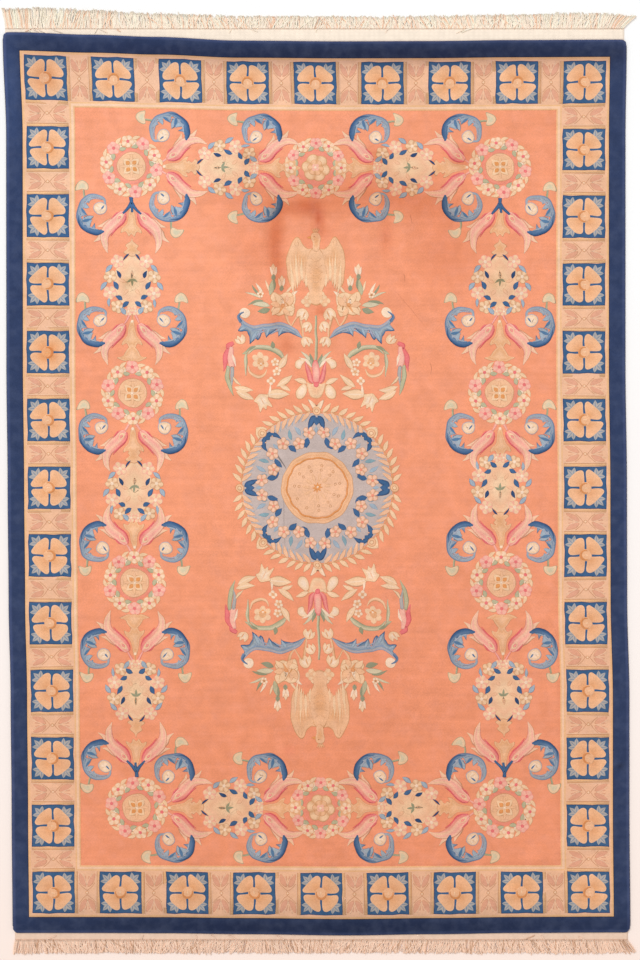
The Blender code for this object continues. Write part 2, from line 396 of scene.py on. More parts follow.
def leaf(length, width, body, edge, rib=None, bend=0.0, steps=7, full=0.85):
    """A pointed leaf from the origin along +X: half its width is w/2 sin(pi t^full), and its middle bows by
    bend sin(pi t). A rib is a carved line along the middle."""
    t = np.linspace(0, 1, steps)
    path = np.stack([length * t, bend * np.sin(np.pi * t)], axis=1)
    half = np.maximum(width / 2 * np.sin(np.pi * t**full), 0.04)
    rows = [(-1.0, 0.1, edge), (-0.7, 0.3, body), (0.7, 0.3, body), (1.0, 0.1, edge)]
    if rib:
        rows[2:2] = [(-0.2, 0.35, body), (0.0, 0.15, rib), (0.2, 0.35, body)]
    return ribbon(path, half, half, rows)


def curl(points, widths, rows, steps=28, lift=0):
    """A ribbon along a smooth curve through points, with widths eased between the same points."""
    path = curve_through(points, steps)
    half = np.interp(np.linspace(0, len(widths) - 1, steps), np.arange(len(widths)), widths)
    return ribbon(path, half, half, rows, lift=lift)


def cushion(points, count, rings, centre=None, lift=0):
    """A blob whose outline is a smooth closed curve through points."""
    return blob(curve_through(points, count, closed=True), rings, centre, lift)


def flower(radius, petals, body, seam, eye, eye_share=0.3, notch=0.26, turn=90.0, lift=0):
    """A round flower: r = R (1 - notch (1 - |cos(n a / 2)|)), darker in the seams between its petals."""
    count = petals * 6
    angle = round_angles(count)
    wave = np.abs(np.cos(petals * (angle - math.radians(turn)) / 2))
    outline = radius * (1 - notch * (1 - wave))[:, None] * spokes(angle)
    rings = [(0.3, 0.15, body), (0.62, 0.4, body), (0.88, 0.3, body), (0.98, 0.1, seam)]
    patch = blob(outline, rings)
    shade = np.clip(1.3 * (1 - wave) ** 2, 0, 0.75)
    shade = np.tile(shade, len(rings) + 1)[:, None]
    dyes = patch.dyes + shade * (DYES[seam] - patch.dyes)
    heart = disc(radius * eye_share, eye, eye, height=0.35, count=12, lift=1)
    return raised(merged([Patch(patch.points, patch.quads, patch.caps, dyes), heart]), lift)


def lobe_streaks(spine, lobes, depth, streaks):
    """One leaf in each named lobe on a ribbon's right side, from its root on the spine to near its tip.

    Each streak is (number of the lobe's tip in the two lists, width, wool, edge).
    """
    share = np.linspace(0, 1, len(spine))
    tangent = np.gradient(spine, axis=0)
    tangent /= np.linalg.norm(tangent, axis=1, keepdims=True)
    right = np.stack([tangent[:, 1], -tangent[:, 0]], axis=1)

    def beside(at, reach):
        return np.array([np.interp(at, share, spine[:, k] + reach * right[:, k]) for k in (0, 1)])

    parts = []
    for number, width, wool, edge in streaks:
        # The root lies a little before the tip along the spine, because each lobe leans back.
        root = beside(lobes[number] - 0.075, 0.15 * depth[number])
        step = beside(lobes[number] - 0.012, 0.86 * depth[number]) - root
        blade = leaf(float(np.hypot(*step)), width, wool, edge, bend=0.5, steps=6)
        parts.append(placed(blade, root[0], root[1], turn=math.degrees(math.atan2(step[1], step[0]))))
    return parts


def mirrored_loop(half, count):
    """Smooth closed outline from the points of its right half, from its top to its foot."""
    half = np.asarray(half, float)
    other = half[1:-1][::-1] * [-1, 1]
    return curve_through(np.concatenate([half, other]), count, closed=True)


def mirrored_blob(half, count, rings, centre=None, lift=0):
    """A blob from the points of its outline's right half."""
    return blob(mirrored_loop(half, count), rings, centre, lift)


def tile():
    """A tile of the band: a blue square, four blunt petals that meet in the middle, three leaves on each."""
    side = np.linspace(-TILE_HALF, TILE_HALF, 6)[:-1]
    square = np.stack([side, np.full(5, -TILE_HALF)], axis=1)
    square = np.concatenate([square, square[:, ::-1] * [-1, 1], -square, square[:, ::-1] * [1, -1]])
    square = blob(
        square,
        [
            (0.5, 0.3, "tile blue"), (0.95, 0.3, "tile blue"), (0.97, 0.25, "tile edge"),
            (0.99, 0.1, "tile edge"),
        ],
    )
    quarters = []
    for k, foot in enumerate((0.0, 0.0, 0.7, 0.7)):
        blunt = [
            (0.1, 3.0), (1.0, 6.5), (0.9, 15.2 + foot), (3.6, 17.8 + foot), (8.0 - foot, 16.6), (12.6, 12.4)
        ]
        blunt += [(16.6, 8.0 - foot), (17.8, 3.6), (15.2, 0.9), (6.5, 1.0), (3.0, 0.1)]
        rings = [
            (0.25, 0.5, "petal"), (0.6, 0.6, "petal"), (0.88, 0.5, "petal"), (0.955, 0.3, "petal edge"),
            (0.99, 0.1, "petal shade"),
        ]
        petal = cushion(blunt, 32, rings, centre=(8.8, 8.8))
        # The wool is darker towards the petal's root.
        near = np.clip(1 - np.hypot(petal.points[:, 0] - 4.2, petal.points[:, 1] - 4.2) / 9.0, 0, 1)
        petal.dyes[:] += 0.8 * near[:, None] * (DYES["petal shade"] - petal.dyes)
        leaves = [
            placed(
                leaf(length, 5.0, "warm grey", "slate", "vein blue", steps=6), 11.6, 11.6, turn=45 + lean
            )
            for lean, length in ((-50, 8.6), (0, 9.2), (50, 8.6))
        ]
        quarters.append(
            placed(merged([raised(petal, 1)] + [raised(blade, 1) for blade in leaves]), 0, 0, turn=90 * k)
        )
    arc = np.radians(np.linspace(205, -25, 12))
    arc = np.stack([4.9 * np.cos(arc), 4.9 * np.sin(arc)], axis=1)
    half = 1.3 * np.sin(np.linspace(0.25, math.pi - 0.25, 12))
    heart = [
        blob(circle(6.2, 20), [(0.3, 0.5, "petal"), (0.8, 0.5, "petal"), (0.98, 0.3, "petal")], lift=2),
        ribbon(
            arc, half, half, ((-1, 0.2, "petal shade"), (0, 0.35, "amber"), (1, 0.2, "petal shade")), lift=3
        ),
        placed(leaf(4.2, 1.3, "petal edge", "petal edge", steps=5), 0.2, -2.6, turn=90, lift=3),
    ]
    return merged([square] + quarters + heart)


def panel():
    """The panel between two tiles: gold lines at its sides, and a tulip towards each end of a tiny ring."""
    parts = []
    for side in (-1, 1):
        for offset, half_width, wool in (
            (11.5, 1.15, "gold"), (9.7, 0.3, "gold shade"), (8.6, 0.25, "band light")
        ):
            line = [(side * offset, -21.3), (side * offset, 21.3)]
            parts.append(ribbon(line, half_width, half_width, flat(wool, height=0.15)))
    tulip = []
    petal = [(1.0, 5.8), (6.4, 9.4), (8.4, 17.0), (7.2, 19.6), (3.6, 16.0), (1.2, 17.6), (0.8, 10.6)]
    rings = [(0.35, 0.35, "dusty rose"), (0.8, 0.3, "dusty rose"), (0.97, 0.1, "rose line")]
    for side in (-1, 1):
        line = curve_through([(0, 8.0), (side * 1.6, 13.0), (side * 4.6, 19.8)], 8)
        stem = curve_through([(0, 2.2), (side * 4.0, 5.4), (side * 8.0, 10.0)], 8)
        tulip += [
            cushion(np.array(petal) * [side, 1], 21, rings),
            ribbon(line, 0.35, 0.35, flat("band light", height=0.15), lift=1),
            ribbon(stem, 0.3, 0.3, flat("rose line", height=0.15)),
        ]
    tulip = merged(tulip)
    parts += [tulip, placed(tulip, 0, 0, turn=180)]
    parts.append(disc(1.7, "band light", "gold shade", count=10, lift=1))
    return merged(parts)


def band_places():
    """Where the tiles and the panels stand: (x, y, turn) of each, round the rug."""
    x_end, y_end = HALF_ACROSS - TILE_INSET, HALF_ALONG - TILE_INSET
    rows = np.linspace(y_end, -y_end, TILES_ALONG)
    columns = np.linspace(-x_end, x_end, TILES_ACROSS)
    tiles = [(side * x_end, y, 90 * side) for side in (-1, 1) for y in rows]
    tiles += [(x, side * y_end, 90 - 90 * side) for side in (-1, 1) for x in columns[1:-1]]
    panels = [(side * x_end, y, 90) for side in (-1, 1) for y in (rows[1:] + rows[:-1]) / 2]
    panels += [(x, side * y_end, 0) for side in (-1, 1) for x in (columns[1:] + columns[:-1]) / 2]
    return tiles, panels


# One row per place of the rose wreaths: how many roses, where the first one is, and what is in the middle.
ROSES = {
    "corner": {"count": 10, "start": 99, "pink_first": False, "lobed": False},
    "column": {"count": 10, "start": 90, "pink_first": True, "lobed": False},
    "row": {"count": 12, "start": 90, "pink_first": False, "lobed": True},
}


def rose_wreath(place):
    """Roses, cream and pink in turn, with leaves inside and outside, round a small carved disc or bloom."""
    plan = ROSES[place]
    step = 360 / plan["count"]
    parts = [disc(18.2, "salmon", "deep pink", count=36)]
    for k in range(plan["count"]):
        angle = plan["start"] - step * k
        cream = (k % 2 == 0) != plan["pink_first"]
        body, seam = ("rose cream", "honey") if cream else ("light pink", "pink")
        x, y = polar(25.6, angle)
        size = 6.9 if plan["count"] == 10 else 6.2
        bloom = flower(size, 5, body, seam, "deep pink", eye_share=0.25, notch=0.19, turn=angle + 180)
        parts.append(placed(bloom, x, y, lift=2))
        between = math.radians(angle - step / 2)
        for radius, turn, length, width, wool, edge, lift in (
            (20.8, 62 if k % 2 else 118, 8.6, 4.4, "sage", "deep sage", 1),
            (28.8, -66, 9.6, 4.2, "cream", "gold shade", 1), (26.4, 30, 9.4, 3.2, "cream", "honey", 0),
            (22.6, -40, 7.4, 2.6, "pale cream", "honey", 0),
        ):
            x, y = radius * math.cos(between), radius * math.sin(between)
            blade = placed(leaf(length, width, wool, edge, steps=6, bend=0.7), -length / 2, 0)
            parts.append(placed(blade, x, y, turn=math.degrees(between) + turn, lift=lift))
    if plan["lobed"]:
        for radius, wool, lift in ((14.8, "cream", 1), (8.6, "honey light", 2)):
            parts.append(flower(radius, 6, wool, "gold shade", wool, notch=0.16, turn=20, lift=lift))
        parts.append(flower(4.4, 4, "light pink", "peach", "pale cream", turn=45, lift=4))
        return merged(parts)
    parts.append(disc(14.8, "honey light", "tan", count=36, lift=1))
    for k in range(4):
        x, y = polar(4.8, 45 + 90 * k)
        drop = placed(leaf(5.6, 4.4, "orange", "amber", steps=6), -2.8, 0)
        parts.append(placed(drop, x, y, turn=45 + 90 * k, lift=3))
        petal = placed(leaf(10.6, 8.4, "cream", "gold shade", steps=8), 0.6, 0)
        parts.append(placed(petal, 0, 0, turn=45 + 90 * k, lift=2))
        fold = placed(leaf(9.0, 3.2, "honey light", "gold shade", steps=6), 3.4, 0)
        parts.append(placed(fold, 0, 0, turn=90 * k, lift=2))
        rim = placed(leaf(8.6, 3.0, "peach", "gold shade", bend=1.0, steps=6), -4.3, 11.9)
        parts.append(placed(rim, 0, 0, turn=90 * k, lift=2))
    parts.append(disc(1.2, "pale cream", "pale cream", count=10, lift=4))
    return merged(parts)


# Leaves of the blue wreath's right half: where each one's middle is, its turn, length and width.
BLUE_LEAVES = table(
    "x y turn length width wool",
    [
        (5.8, 23.8, -50, 9.0, 2.0, "deep blue"), (13.7, 6.2, 65, 8.5, 3.8, "deep blue"),
        (16.4, -4.6, 62, 9.5, 4.6, "blue"), (12.6, -16.8, 28, 8.0, 4.4, "blue"),
        (6.4, -23.6, -38, 9.0, 4.6, "blue"), (22.6, 12.0, -44, 10.0, 4.6, "light blue"),
        (27.8, -5.4, -55, 10.0, 4.8, "light blue"), (22.6, -22.0, -84, 9.0, 3.2, "light blue"),
        (9.4, -29.8, 50, 9.0, 4.6, "light blue"),
    ],
)
BLUE_BLOOMS = table(
    "x y size",
    [(14.2, 19.2, 6.4), (22.2, 4.4, 6.2), (21.8, -12.0, 6.6), (14.8, -25.6, 6.2), (3.6, -30.4, 4.4)],
)


def blue_wreath():
    """Blue leaves and cream blooms round a cream heart-shaped shield, with a pointed spike above."""
    shield = [(0, 28), (6, 23), (13, 17), (18, 7), (18.5, -4), (15, -16), (8, -24), (0, -29)]
    parts = [
        mirrored_blob(
            shield, 40,
            [(0.3, 0.35, "cream"), (0.7, 0.35, "peach"), (0.94, 0.25, "cream"), (0.98, 0.1, "honey")],
        )
    ]
    spike = [(0, 44), (1.4, 40), (6.8, 35.5), (4.6, 32), (9.0, 28), (3.5, 25), (0, 24)]
    parts.append(
        mirrored_blob(
            spike, 32, [(0.3, 0.4, "honey"), (0.85, 0.3, "honey light"), (0.97, 0.1, "tan")], lift=1
        )
    )
    for lean, length in ((90, 8.5), (215, 6.4), (325, 6.4), (270, 7.5)):
        parts.append(placed(leaf(length, 2.6, "deep sage", "sage", steps=6), 0, 2.5, turn=lean, lift=1))
    heart = [(0.4, 0.35, "cream"), (0.93, 0.3, "cream"), (0.99, 0.1, "honey")]
    parts.append(placed(blob(circle(15.0, 32), heart), 0, -3.0))
    for turn in range(18, 360, 72):
        fold = placed(leaf(8.0, 3.4, "peach", "gold shade", steps=6), 6.0, 0)
        parts.append(placed(fold, 0, -3.0, turn=turn, lift=1))
    for flip in (False, True):
        for k, row in enumerate(BLUE_BLOOMS):
            seam = "tan" if k % 2 else "pink"
            bloom = flower(
                1.14 * row["size"], 5, "cream", seam, "pale cream", eye_share=0.24, notch=0.22, turn=60 * k
            )
            parts.append(placed(placed(bloom, row["x"], row["y"]), 0, 0, flip=flip, lift=1))
        for row in BLUE_LEAVES:
            dark = "vein blue" if row["wool"] == "light blue" else "deep blue"
            blade = leaf(row["length"], row["width"], row["wool"], dark, bend=0.6, steps=7)
            blade = placed(placed(blade, -row["length"] / 2, 0), row["x"], row["y"], turn=row["turn"])
            parts.append(placed(blade, 0, 0, flip=flip, lift=3))
    return merged(parts)


def scroll(bud="beside"):
    """A C-scroll on the right of a unit: a crescent from a cream volute to a dark tip, whose inner side is
    cut into lobes. The outer side is smooth, and the inner half-width follows a saw of named steps."""
    arm = [(26.2, -36.0), (27.4, -30.4), (34.0, -27.4), (42.4, -27.6), (49.6, -32.6), (52.6, -42.0)]
    arm += [(52.4, -51.4), (47.6, -58.6), (40.6, -62.4), (33.0, -63.2), (26.6, -61.6)]
    spine = curve_through(arm, 64)
    t = np.linspace(0, 1, 64)
    outer = np.interp(t, (0, 0.15, 0.5, 0.85, 1), (0.9, 1.4, 2.1, 2.0, 0.3))
    lobes = (0, 0.14, 0.30, 0.35, 0.37, 0.50, 0.54, 0.56, 0.64, 0.70, 0.72, 0.80, 0.84, 0.86, 0.94, 1)
    depth = (0.9, 1.6, 2.3, 6.4, 1.9, 3.4, 9.4, 2.2, 5.0, 13.6, 2.7, 3.9, 9.6, 2.2, 2.2, 0.3)
    rows = (
        (-1.0, 0.1, ("mid blue", "deep blue")), (-0.86, 0.3, ("light blue", "vein blue")),
        (-0.6, 0.4, ("warm grey", "mid blue")), (-0.36, 0.4, ("grey blue", "grey blue")),
        (-0.26, 0.4, ("mid blue", "blue")), (-0.14, 0.45, ("warm grey", "mid blue")),
        (0.0, 0.45, ("grey blue", "mid blue")), (0.4, 0.4, ("light blue", "blue")),
        (0.75, 0.3, ("mid blue", "deep blue")), (1.0, 0.1, ("lilac", "deep blue")),
    )
    parts = [ribbon(spine, outer, np.interp(t, lobes, depth), rows, lift=2)]
    streaks = (
        (3, 2.2, "grey blue", "lilac"), (6, 3.0, "vein blue", "light blue"),
        (9, 3.8, "vein blue", "light blue"),
    )
    parts += [raised(blade, 4) for blade in lobe_streaks(spine, lobes, depth, streaks)]
    tail = [(53.2, -45.0), (50.6, -55.0), (43.8, -61.0), (35.0, -63.4), (27.4, -62.4)]
    dark_rows = (
        (-1, 0.1, "vein blue"), (-0.3, 0.4, ("mid blue", "blue")), (0.3, 0.4, "blue"), (1, 0.1, "deep blue")
    )
    parts.append(curl(tail, (0.3, 2.0, 3.2, 3.0, 1.0), dark_rows, steps=22, lift=3))
    streak_rows = flat(("lilac", "light blue"))
    parts += [
        curl(
            [(29.6, -31.0), (38.0, -30.0), (47.0, -34.6), (50.2, -44.0)], (0.3, 0.8, 0.8, 0.2), streak_rows,
            steps=14, lift=4,
        ),
        curl(
            [(47.6, -46.0), (47.6, -53.0), (41.0, -58.6), (33.0, -60.6)], (0.2, 0.9, 0.8, 0.2), streak_rows,
            steps=14, lift=4,
        ),
    ]
    blade = leaf(13.5, 6.8, "grey blue", "deep blue", "lilac", bend=-2.6)
    parts += [
        placed(blade, 47.6, -57.0, turn=136, lift=3),
        placed(leaf(9.6, 4.8, "light blue", "vein blue", bend=-2.0), 42.6, -60.0, turn=112, lift=3),
        placed(leaf(8.6, 4.6, "light blue", "vein blue", bend=1.0), 49.4, -34.0, turn=214, lift=3),
    ]
    volute = [
        (25.2, -35.4), (31.0, -33.0), (37.2, -36.0), (38.2, -41.4), (34.2, -46.0), (28.4, -45.0),
        (25.0, -40.8),
    ]
    parts += [
        cushion(
            volute, 26, [(0.35, 0.5, "pale cream"), (0.8, 0.45, "cream"), (0.97, 0.1, "lilac")], lift=3
        ),
        placed(leaf(8.4, 5.0, "pale cream", "peach", bend=0.8, steps=7), 28.6, -42.6, turn=20, lift=4),
        placed(leaf(7.0, 1.9, "vein blue", "lilac", steps=6), 27.2, -36.2, turn=-52, lift=4),
        placed(leaf(9.0, 1.4, "cream", "honey", bend=1.6, steps=6), 32.0, -43.6, turn=58, lift=4),
    ]
    stem_rows = ((-1, 0.2, "sage"), (1, 0.2, "deep sage"))
    cap = cushion(
        [(43.0, -21.6), (43.6, -15.4), (48.8, -11.4), (54.0, -14.0), (56.4, -21.8), (50, -20.6)], 26,
        [(0.3, 0.4, "pale sage"), (0.8, 0.35, "cream"), (0.96, 0.1, "deep sage")],
    )
    if bud == "beside":
        parts += [
            curl(((46.6, -28.5), (47.2, -24.5), (47.6, -21.0)), (1.3, 0.9, 1.0), stem_rows, steps=8), cap
        ]
    else:
        parts += [
            curl(((54.0, -46.6), (59.0, -46.6), (63.0, -48.0)), (1.3, 0.9, 1.0), stem_rows, steps=8),
            placed(placed(cap, -49.0, 17.0), 66.0, -52.0, turn=-76),
        ]
    return merged(parts)


def pink_leaf():
    """The curled pink leaf on the right of a unit, with a round head, an eyelet and a forked tail."""
    path = [
        (7.4, -43.0), (9.8, -46.6), (13.8, -51.6), (19.4, -56.4), (24.4, -61.4), (27.0, -68.0),
        (26.6, -76.0), (23.6, -84.0),
    ]
    widths = (2.4, 5.4, 6.4, 6.2, 5.6, 4.2, 3.0, 0.2)
    rows = (
        (-1.0, 0.1, ("red pink", "tan")), (-0.8, 0.4, ("deep pink", "light pink")),
        (-0.45, 0.45, ("deep pink", "cream")), (-0.25, 0.45, ("light pink", "cream")),
        (0.4, 0.5, ("pink", "light pink")), (0.8, 0.4, ("light pink", "cream")),
        (1.0, 0.1, ("deep pink", "tan")),
    )
    parts = [curl(path, widths, rows, steps=30, lift=2)]
    soft = (
        (-1.0, 0.1, "deep pink"), (-0.6, 0.35, ("pink", "cream")), (0.6, 0.35, ("light pink", "cream")),
        (1.0, 0.1, "tan"),
    )
    parts += [
        curl(
            [(25.0, -60.5), (29.4, -64.4), (32.4, -69.0), (38.0, -72.8)], (3.8, 3.8, 2.6, 0.2), soft,
            steps=12, lift=1,
        ),
        curl(
            [(17.0, -51.0), (23.0, -54.0), (28.4, -56.6), (34.0, -57.6)], (3.8, 3.8, 2.4, 0.2), soft,
            steps=12, lift=1,
        ),
    ]
    line = flat("red pink", "deep pink")
    parts += [
        curl(
            [(10.6, -44.0), (6.6, -48.0), (9.4, -54.6), (15.4, -60.0), (20.6, -67.0)],
            (0.5, 1.2, 1.4, 1.2, 0.2), line, steps=18, lift=3,
        ),
        curl(
            [(16.0, -48.8), (15.4, -53.0), (19.8, -57.0), (24.0, -58.6)], (0.3, 0.8, 0.8, 0.2), line,
            steps=12, lift=3,
        ),
        curl([(21.6, -60.0), (24.6, -66.0), (24.4, -74.0)], (0.3, 0.8, 0.2), line, steps=10, lift=3),
        curl(
            [(9.0, -43.4), (14.6, -44.4), (18.6, -48.6), (21.0, -53.4)], (0.3, 0.9, 0.8, 0.2), line,
            steps=12, lift=3,
        ),
        placed(leaf(9.4, 6.0, "cream", "deep pink", steps=8), 8.8, -45.0, turn=-50, lift=3),
        placed(leaf(5.4, 2.5, "pink", "red pink", steps=6), 10.4, -46.9, turn=-50, lift=5),
    ]
    return merged(parts)


def unit(bell, stem):
    """What hangs between two wreaths, without its scrolls: two pink leaves and honey bells on the axis."""
    parts = [pink_leaf(), placed(pink_leaf(), 0, 0, flip=True)]
    first = [
        (0, -39), (2.2, -41), (3.4, -48), (5.0, -55), (9.8, -60.4), (10.4, -64.6), (5.6, -62.6),
        (3.0, -67.4), (0, -64.6),
    ]
    rings = [(0.3, 0.45, "honey light"), (0.7, 0.4, "honey"), (0.9, 0.3, "honey light"), (0.98, 0.1, "tan")]
    parts.append(mirrored_blob(first, 38, rings, lift=1))
    if bell:
        second = [(0, -63.5), (2.2, -65), (5.0, -68), (7.4, -71.5), (9.6, -75), (15.8, -76.2), (10.4, -79)]
        second = mirrored_loop(second + [(6.6, -80.4), (3.0, -79.8), (1.4, -83), (0, -85)], 46)
        parts.append(blob(second, rings, lift=1))
    parts.append(placed(disc(1.7, "pale cream", "cream", count=12), 0, -40.6, lift=2))
    if stem == "fork":
        fork = ridge("deep blue", "blue", height=0.35, foot=0.15)
        for points in (
            ((0, -28.5), (0, -35), (0.6, -43.5)), ((0, -34), (3.4, -39), (9.4, -44.6)),
            ((0, -34), (-3.4, -39), (-8.8, -44.6)),
        ):
            parts.append(curl(points, (1.9, 1.6, 1.1), fork, steps=10, lift=3))
    else:
        wool = "deep pink" if stem == "red" else "pink"
        for side in (-1, 1):
            points = ((side * 2.2, -32.5), (side * 4.6, -37.5), (side * 7.6, -42.5))
            parts.append(
                curl(
                    points, (1.6, 1.3, 0.9), ((-1, 0.15, wool), (0, 0.3, "light pink"), (1, 0.15, wool)),
                    steps=10,
                )
            )
        parts.append(
            curl(((0, -31), (0, -36), (0, -41)), (0.6, 0.5, 0.6), flat("gold shade", "honey"), steps=6)
        )
    return merged(parts)


# The spray above the medallion, right half, in knots from the rug's middle. Leaves stand by their roots.
SPRAY_LEAVES = table(
    "x y turn length width bend wool",
    [
        (46.0, 192, 100, 17, 5.5, 0.6, "sage"), (53.0, 192, 62, 15, 3.2, 0.8, "pale cream"),
        (55.0, 191, 55, 15, 2.8, -0.8, "deep sage"), (54.0, 189, 22, 18, 2.6, 0.8, "pale sage"),
        (52.0, 187, -14, 17, 3.0, 1.2, "deep sage"), (46.0, 182, 4, 18, 6.0, 0.8, "pale sage"),
        (46.0, 179, -14, 13, 6.0, -0.6, "deep sage"), (41.5, 198, 88, 13, 3.2, 0.2, "deep sage"),
        (42.6, 139, 78, 8, 4.4, 0.4, "deep sage"), (60.0, 141, -28, 12, 3.4, 0.8, "deep sage"),
        (82.0, 101, 190, 20, 7.0, 1.0, "cream"), (80.0, 97, 206, 20, 8.0, 0.6, "cream"),
        (47.0, 196, 74, 12, 2.6, 0.4, "cream"), (30.0, 194, 128, 12, 3.0, 0.4, "cream"),
        (26.0, 190, 140, 11, 3.6, -0.4, "pale cream"), (22.0, 182, 96, 13, 3.6, -0.6, "cream"),
        (38.0, 118, 122, 19, 7.0, 0.6, "cream"), (39.5, 101, 142, 20, 7.0, 0.8, "cream"),
        (36.0, 101, 200, 12, 5.0, -0.8, "cream"), (50.0, 92.0, 176, 24, 11.0, -1.0, "cream"),
        (47.0, 90.0, 96, 14, 3.0, 0.4, "pale cream"), (3.0, 119, 56, 22, 3.8, 2.0, "pale sage"),
        (1.6, 119, 74, 16, 4.8, -0.6, "deep sage"), (4.0, 120, 40, 17, 3.2, 2.0, "pale cream"),
        (9.0, 104, 20, 14, 6.0, 0.8, "cream"),
    ],
)
SPRAY_BLOOMS = table(
    "x y size petals body seam eye",
    [
        (55.4, 126.8, 9.4, 6, "cream", "peach", "honey"),
        (55.0, 124.6, 4.0, 4, "orange", "peach", "pale cream"),
        (40.5, 125.5, 4.6, 5, "pale cream", "honey", "honey"),
        (39.5, 116.0, 4.8, 5, "pale cream", "honey", "honey"),
        (44.8, 107.0, 4.6, 4, "pale cream", "honey", "honey"),
        (55.6, 193.4, 3.8, 5, "pale cream", "honey", "tan"),
        (9.0, 186.6, 6.0, 4, "cream", "honey", "honey light"),
    ],
)
SPRAY_BELLS = table(
    "x y turn size", [(13.4, 173.4, 205, 1.05), (8.4, 161.0, 215, 0.9), (9.4, 146.0, 165, 0.95)]
)


def acanthus():
    """The blue leaf of the spray: a broad blade with ragged lobes below, a volute at its outer end."""
    path = [
        (13.5, 150.0), (22.5, 158.0), (36.0, 163.2), (50.0, 161.4), (62.0, 160.0), (70.0, 163.4),
        (76.5, 170.5),
    ]
    t = np.linspace(0, 1, 110)
    spine = curve_through(path, 110)
    upper = np.interp(t, (0, 0.12, 0.5, 0.85, 1), (0.3, 2.2, 2.6, 2.0, 0.8))
    lobes = (0, 0.12, 0.20, 0.26, 0.355, 0.36, 0.40, 0.47, 0.525, 0.535, 0.56, 0.60)
    lobes += (0.63, 0.64, 0.69, 0.70, 0.76, 0.80, 0.87, 0.88, 0.93, 1)
    depth = (0.3, 3.6, 5.0, 8.0, 13.0, 4.0, 5.5, 8.0, 11.5, 2.0, 5.0, 10.5)
    depth += (13.0, 10.5, 17.5, 10.0, 5.5, 6.5, 10.5, 3.0, 2.0, 0.6)
    rows = (
        (-1.0, 0.1, "deep blue"), (-0.88, 0.3, "vein blue"), (-0.66, 0.35, "slate"),
        (-0.36, 0.4, "grey blue"), (-0.1, 0.45, "mid blue"), (0.15, 0.5, "warm grey"), (0.7, 0.45, "lilac"),
        (1.0, 0.1, "mid blue"),
    )
    parts = [ribbon(spine, upper, np.interp(t, lobes, depth), rows, lift=1)]
    streaks = (
        (4, 3.0, "light blue", "vein blue"), (8, 2.8, "light blue", "vein blue"),
        (12, 1.8, "lilac", "vein blue"),
    )
    streaks += ((14, 3.4, "light blue", "vein blue"), (18, 3.0, "light blue", "vein blue"))
    parts += [raised(blade, 3) for blade in lobe_streaks(spine, lobes, depth, streaks)]
    for points in (
        [(20.0, 154.5), (34.0, 160.0), (50.0, 158.6), (64.0, 157.0)],
        [(26.0, 155.5), (38.0, 157.4), (46.0, 153.5)], [(50.0, 157.0), (58.0, 153.6), (62.0, 147.6)],
    ):
        vein = curve_through(points, 16)
        half = 0.8 * np.sin(np.linspace(0.3, math.pi - 0.2, 16))
        parts.append(ribbon(vein, half, half, flat("lilac", "light blue"), lift=3))
    parts.append(placed(disc(5.6, "pale cream", "honey", count=22), 71.0, 175.0, lift=2))
    tip_rows = flat("blue", "mid blue")
    parts.append(
        curl(
            [(72.0, 176.0), (76.0, 173.6), (77.4, 170.6), (74.6, 166.0)], (0.5, 1.1, 1.4, 1.6), tip_rows,
            steps=12, lift=3,
        )
    )
    return merged(parts)


def bell_flower():
    """A drooping cream bell with two turned-back petals, hanging along -Y."""
    outline = [
        (0, 6), (4.6, 4.6), (6.4, 0), (4.4, -5.2), (1.8, -2.6), (-1.2, -6.4), (-3.8, -2.6), (-6.0, -4.2),
        (-5.8, 2),
    ]
    rings = [(0.3, 0.4, "pale cream"), (0.75, 0.4, "cream"), (0.9, 0.25, "cream"), (0.98, 0.1, "tan")]
    return merged(
        [
            cushion(outline, 34, rings, centre=(0, 0.5)),
            placed(leaf(7.0, 1.6, "honey", "gold shade", "honey", steps=7), -0.6, 4.0, turn=-96, lift=1),
        ]
    )


def peony():
    """A full bloom seen from the side: broad folded petals over each other, gold in the folds."""
    outline = [
        (-11, 10), (-4, 12.4), (2, 10.4), (9, 12.6), (12.4, 6), (9.4, 0), (12, -7), (4, -12), (-3, -10),
        (-10, -12.4), (-12.4, -3), (-9.6, 3),
    ]
    rings = [(0.3, 0.4, "honey"), (0.6, 0.4, "cream"), (0.9, 0.35, "cream"), (0.98, 0.1, "gold shade")]
    parts = [cushion(outline, 56, rings)]
    for x, y, turn, length, width, wool, edge in (
        (-2.0, -2.0, 132, 14.0, 8.0, "honey light", "gold shade"),
        (1.0, -1.0, 62, 14.0, 8.0, "cream", "gold shade"), (3.0, -2.0, 12, 10.0, 7.0, "honey light", "tan"),
        (2.0, -4.0, -40, 11.0, 7.0, "cream", "tan"), (-3.0, -3.0, 190, 9.5, 7.0, "cream", "gold shade"),
        (-2.0, -4.0, 234, 9.5, 6.0, "honey light", "tan"),
        (-3.0, 1.0, 100, 9.0, 4.0, "peach", "gold shade"),
        (1.0, -3.0, 84, 10.0, 4.6, "pale cream", "petal shade"),
        (-1.0, -2.0, 300, 8.0, 2.4, "petal shade", "gold shade"),
        (-7.0, -6.0, 60, 10.0, 2.2, "gold shade", "tan"),
    ):
        parts.append(placed(leaf(length, width, wool, edge, bend=0.9, steps=7), x, y, turn=turn, lift=1))
    parts.append(placed(disc(2.0, "petal shade", "amber", count=12), 0, -1.0, lift=3))
    return merged(parts)


def bud(size=1.0):
    """A pointed cream bud on a green cup, pointing along +Y."""
    parts = [placed(leaf(10.5, 6.4, "cream", "tan", "pale cream"), 0, -2.0, turn=90)]
    for side in (-1, 1):
        sepal = leaf(8.0, 2.8, "pale cream", "honey", "pale cream", bend=0.5 * side)
        parts.append(placed(sepal, side * 1.4, -2.0, turn=90 - 12 * side))
    parts.append(placed(leaf(5.5, 4.0, "deep sage", "sage", "deep sage", steps=7), 0, -6.0, turn=90))
    return placed(merged([raised(part, k) for k, part in enumerate(parts)]), 0, 0, size=size)


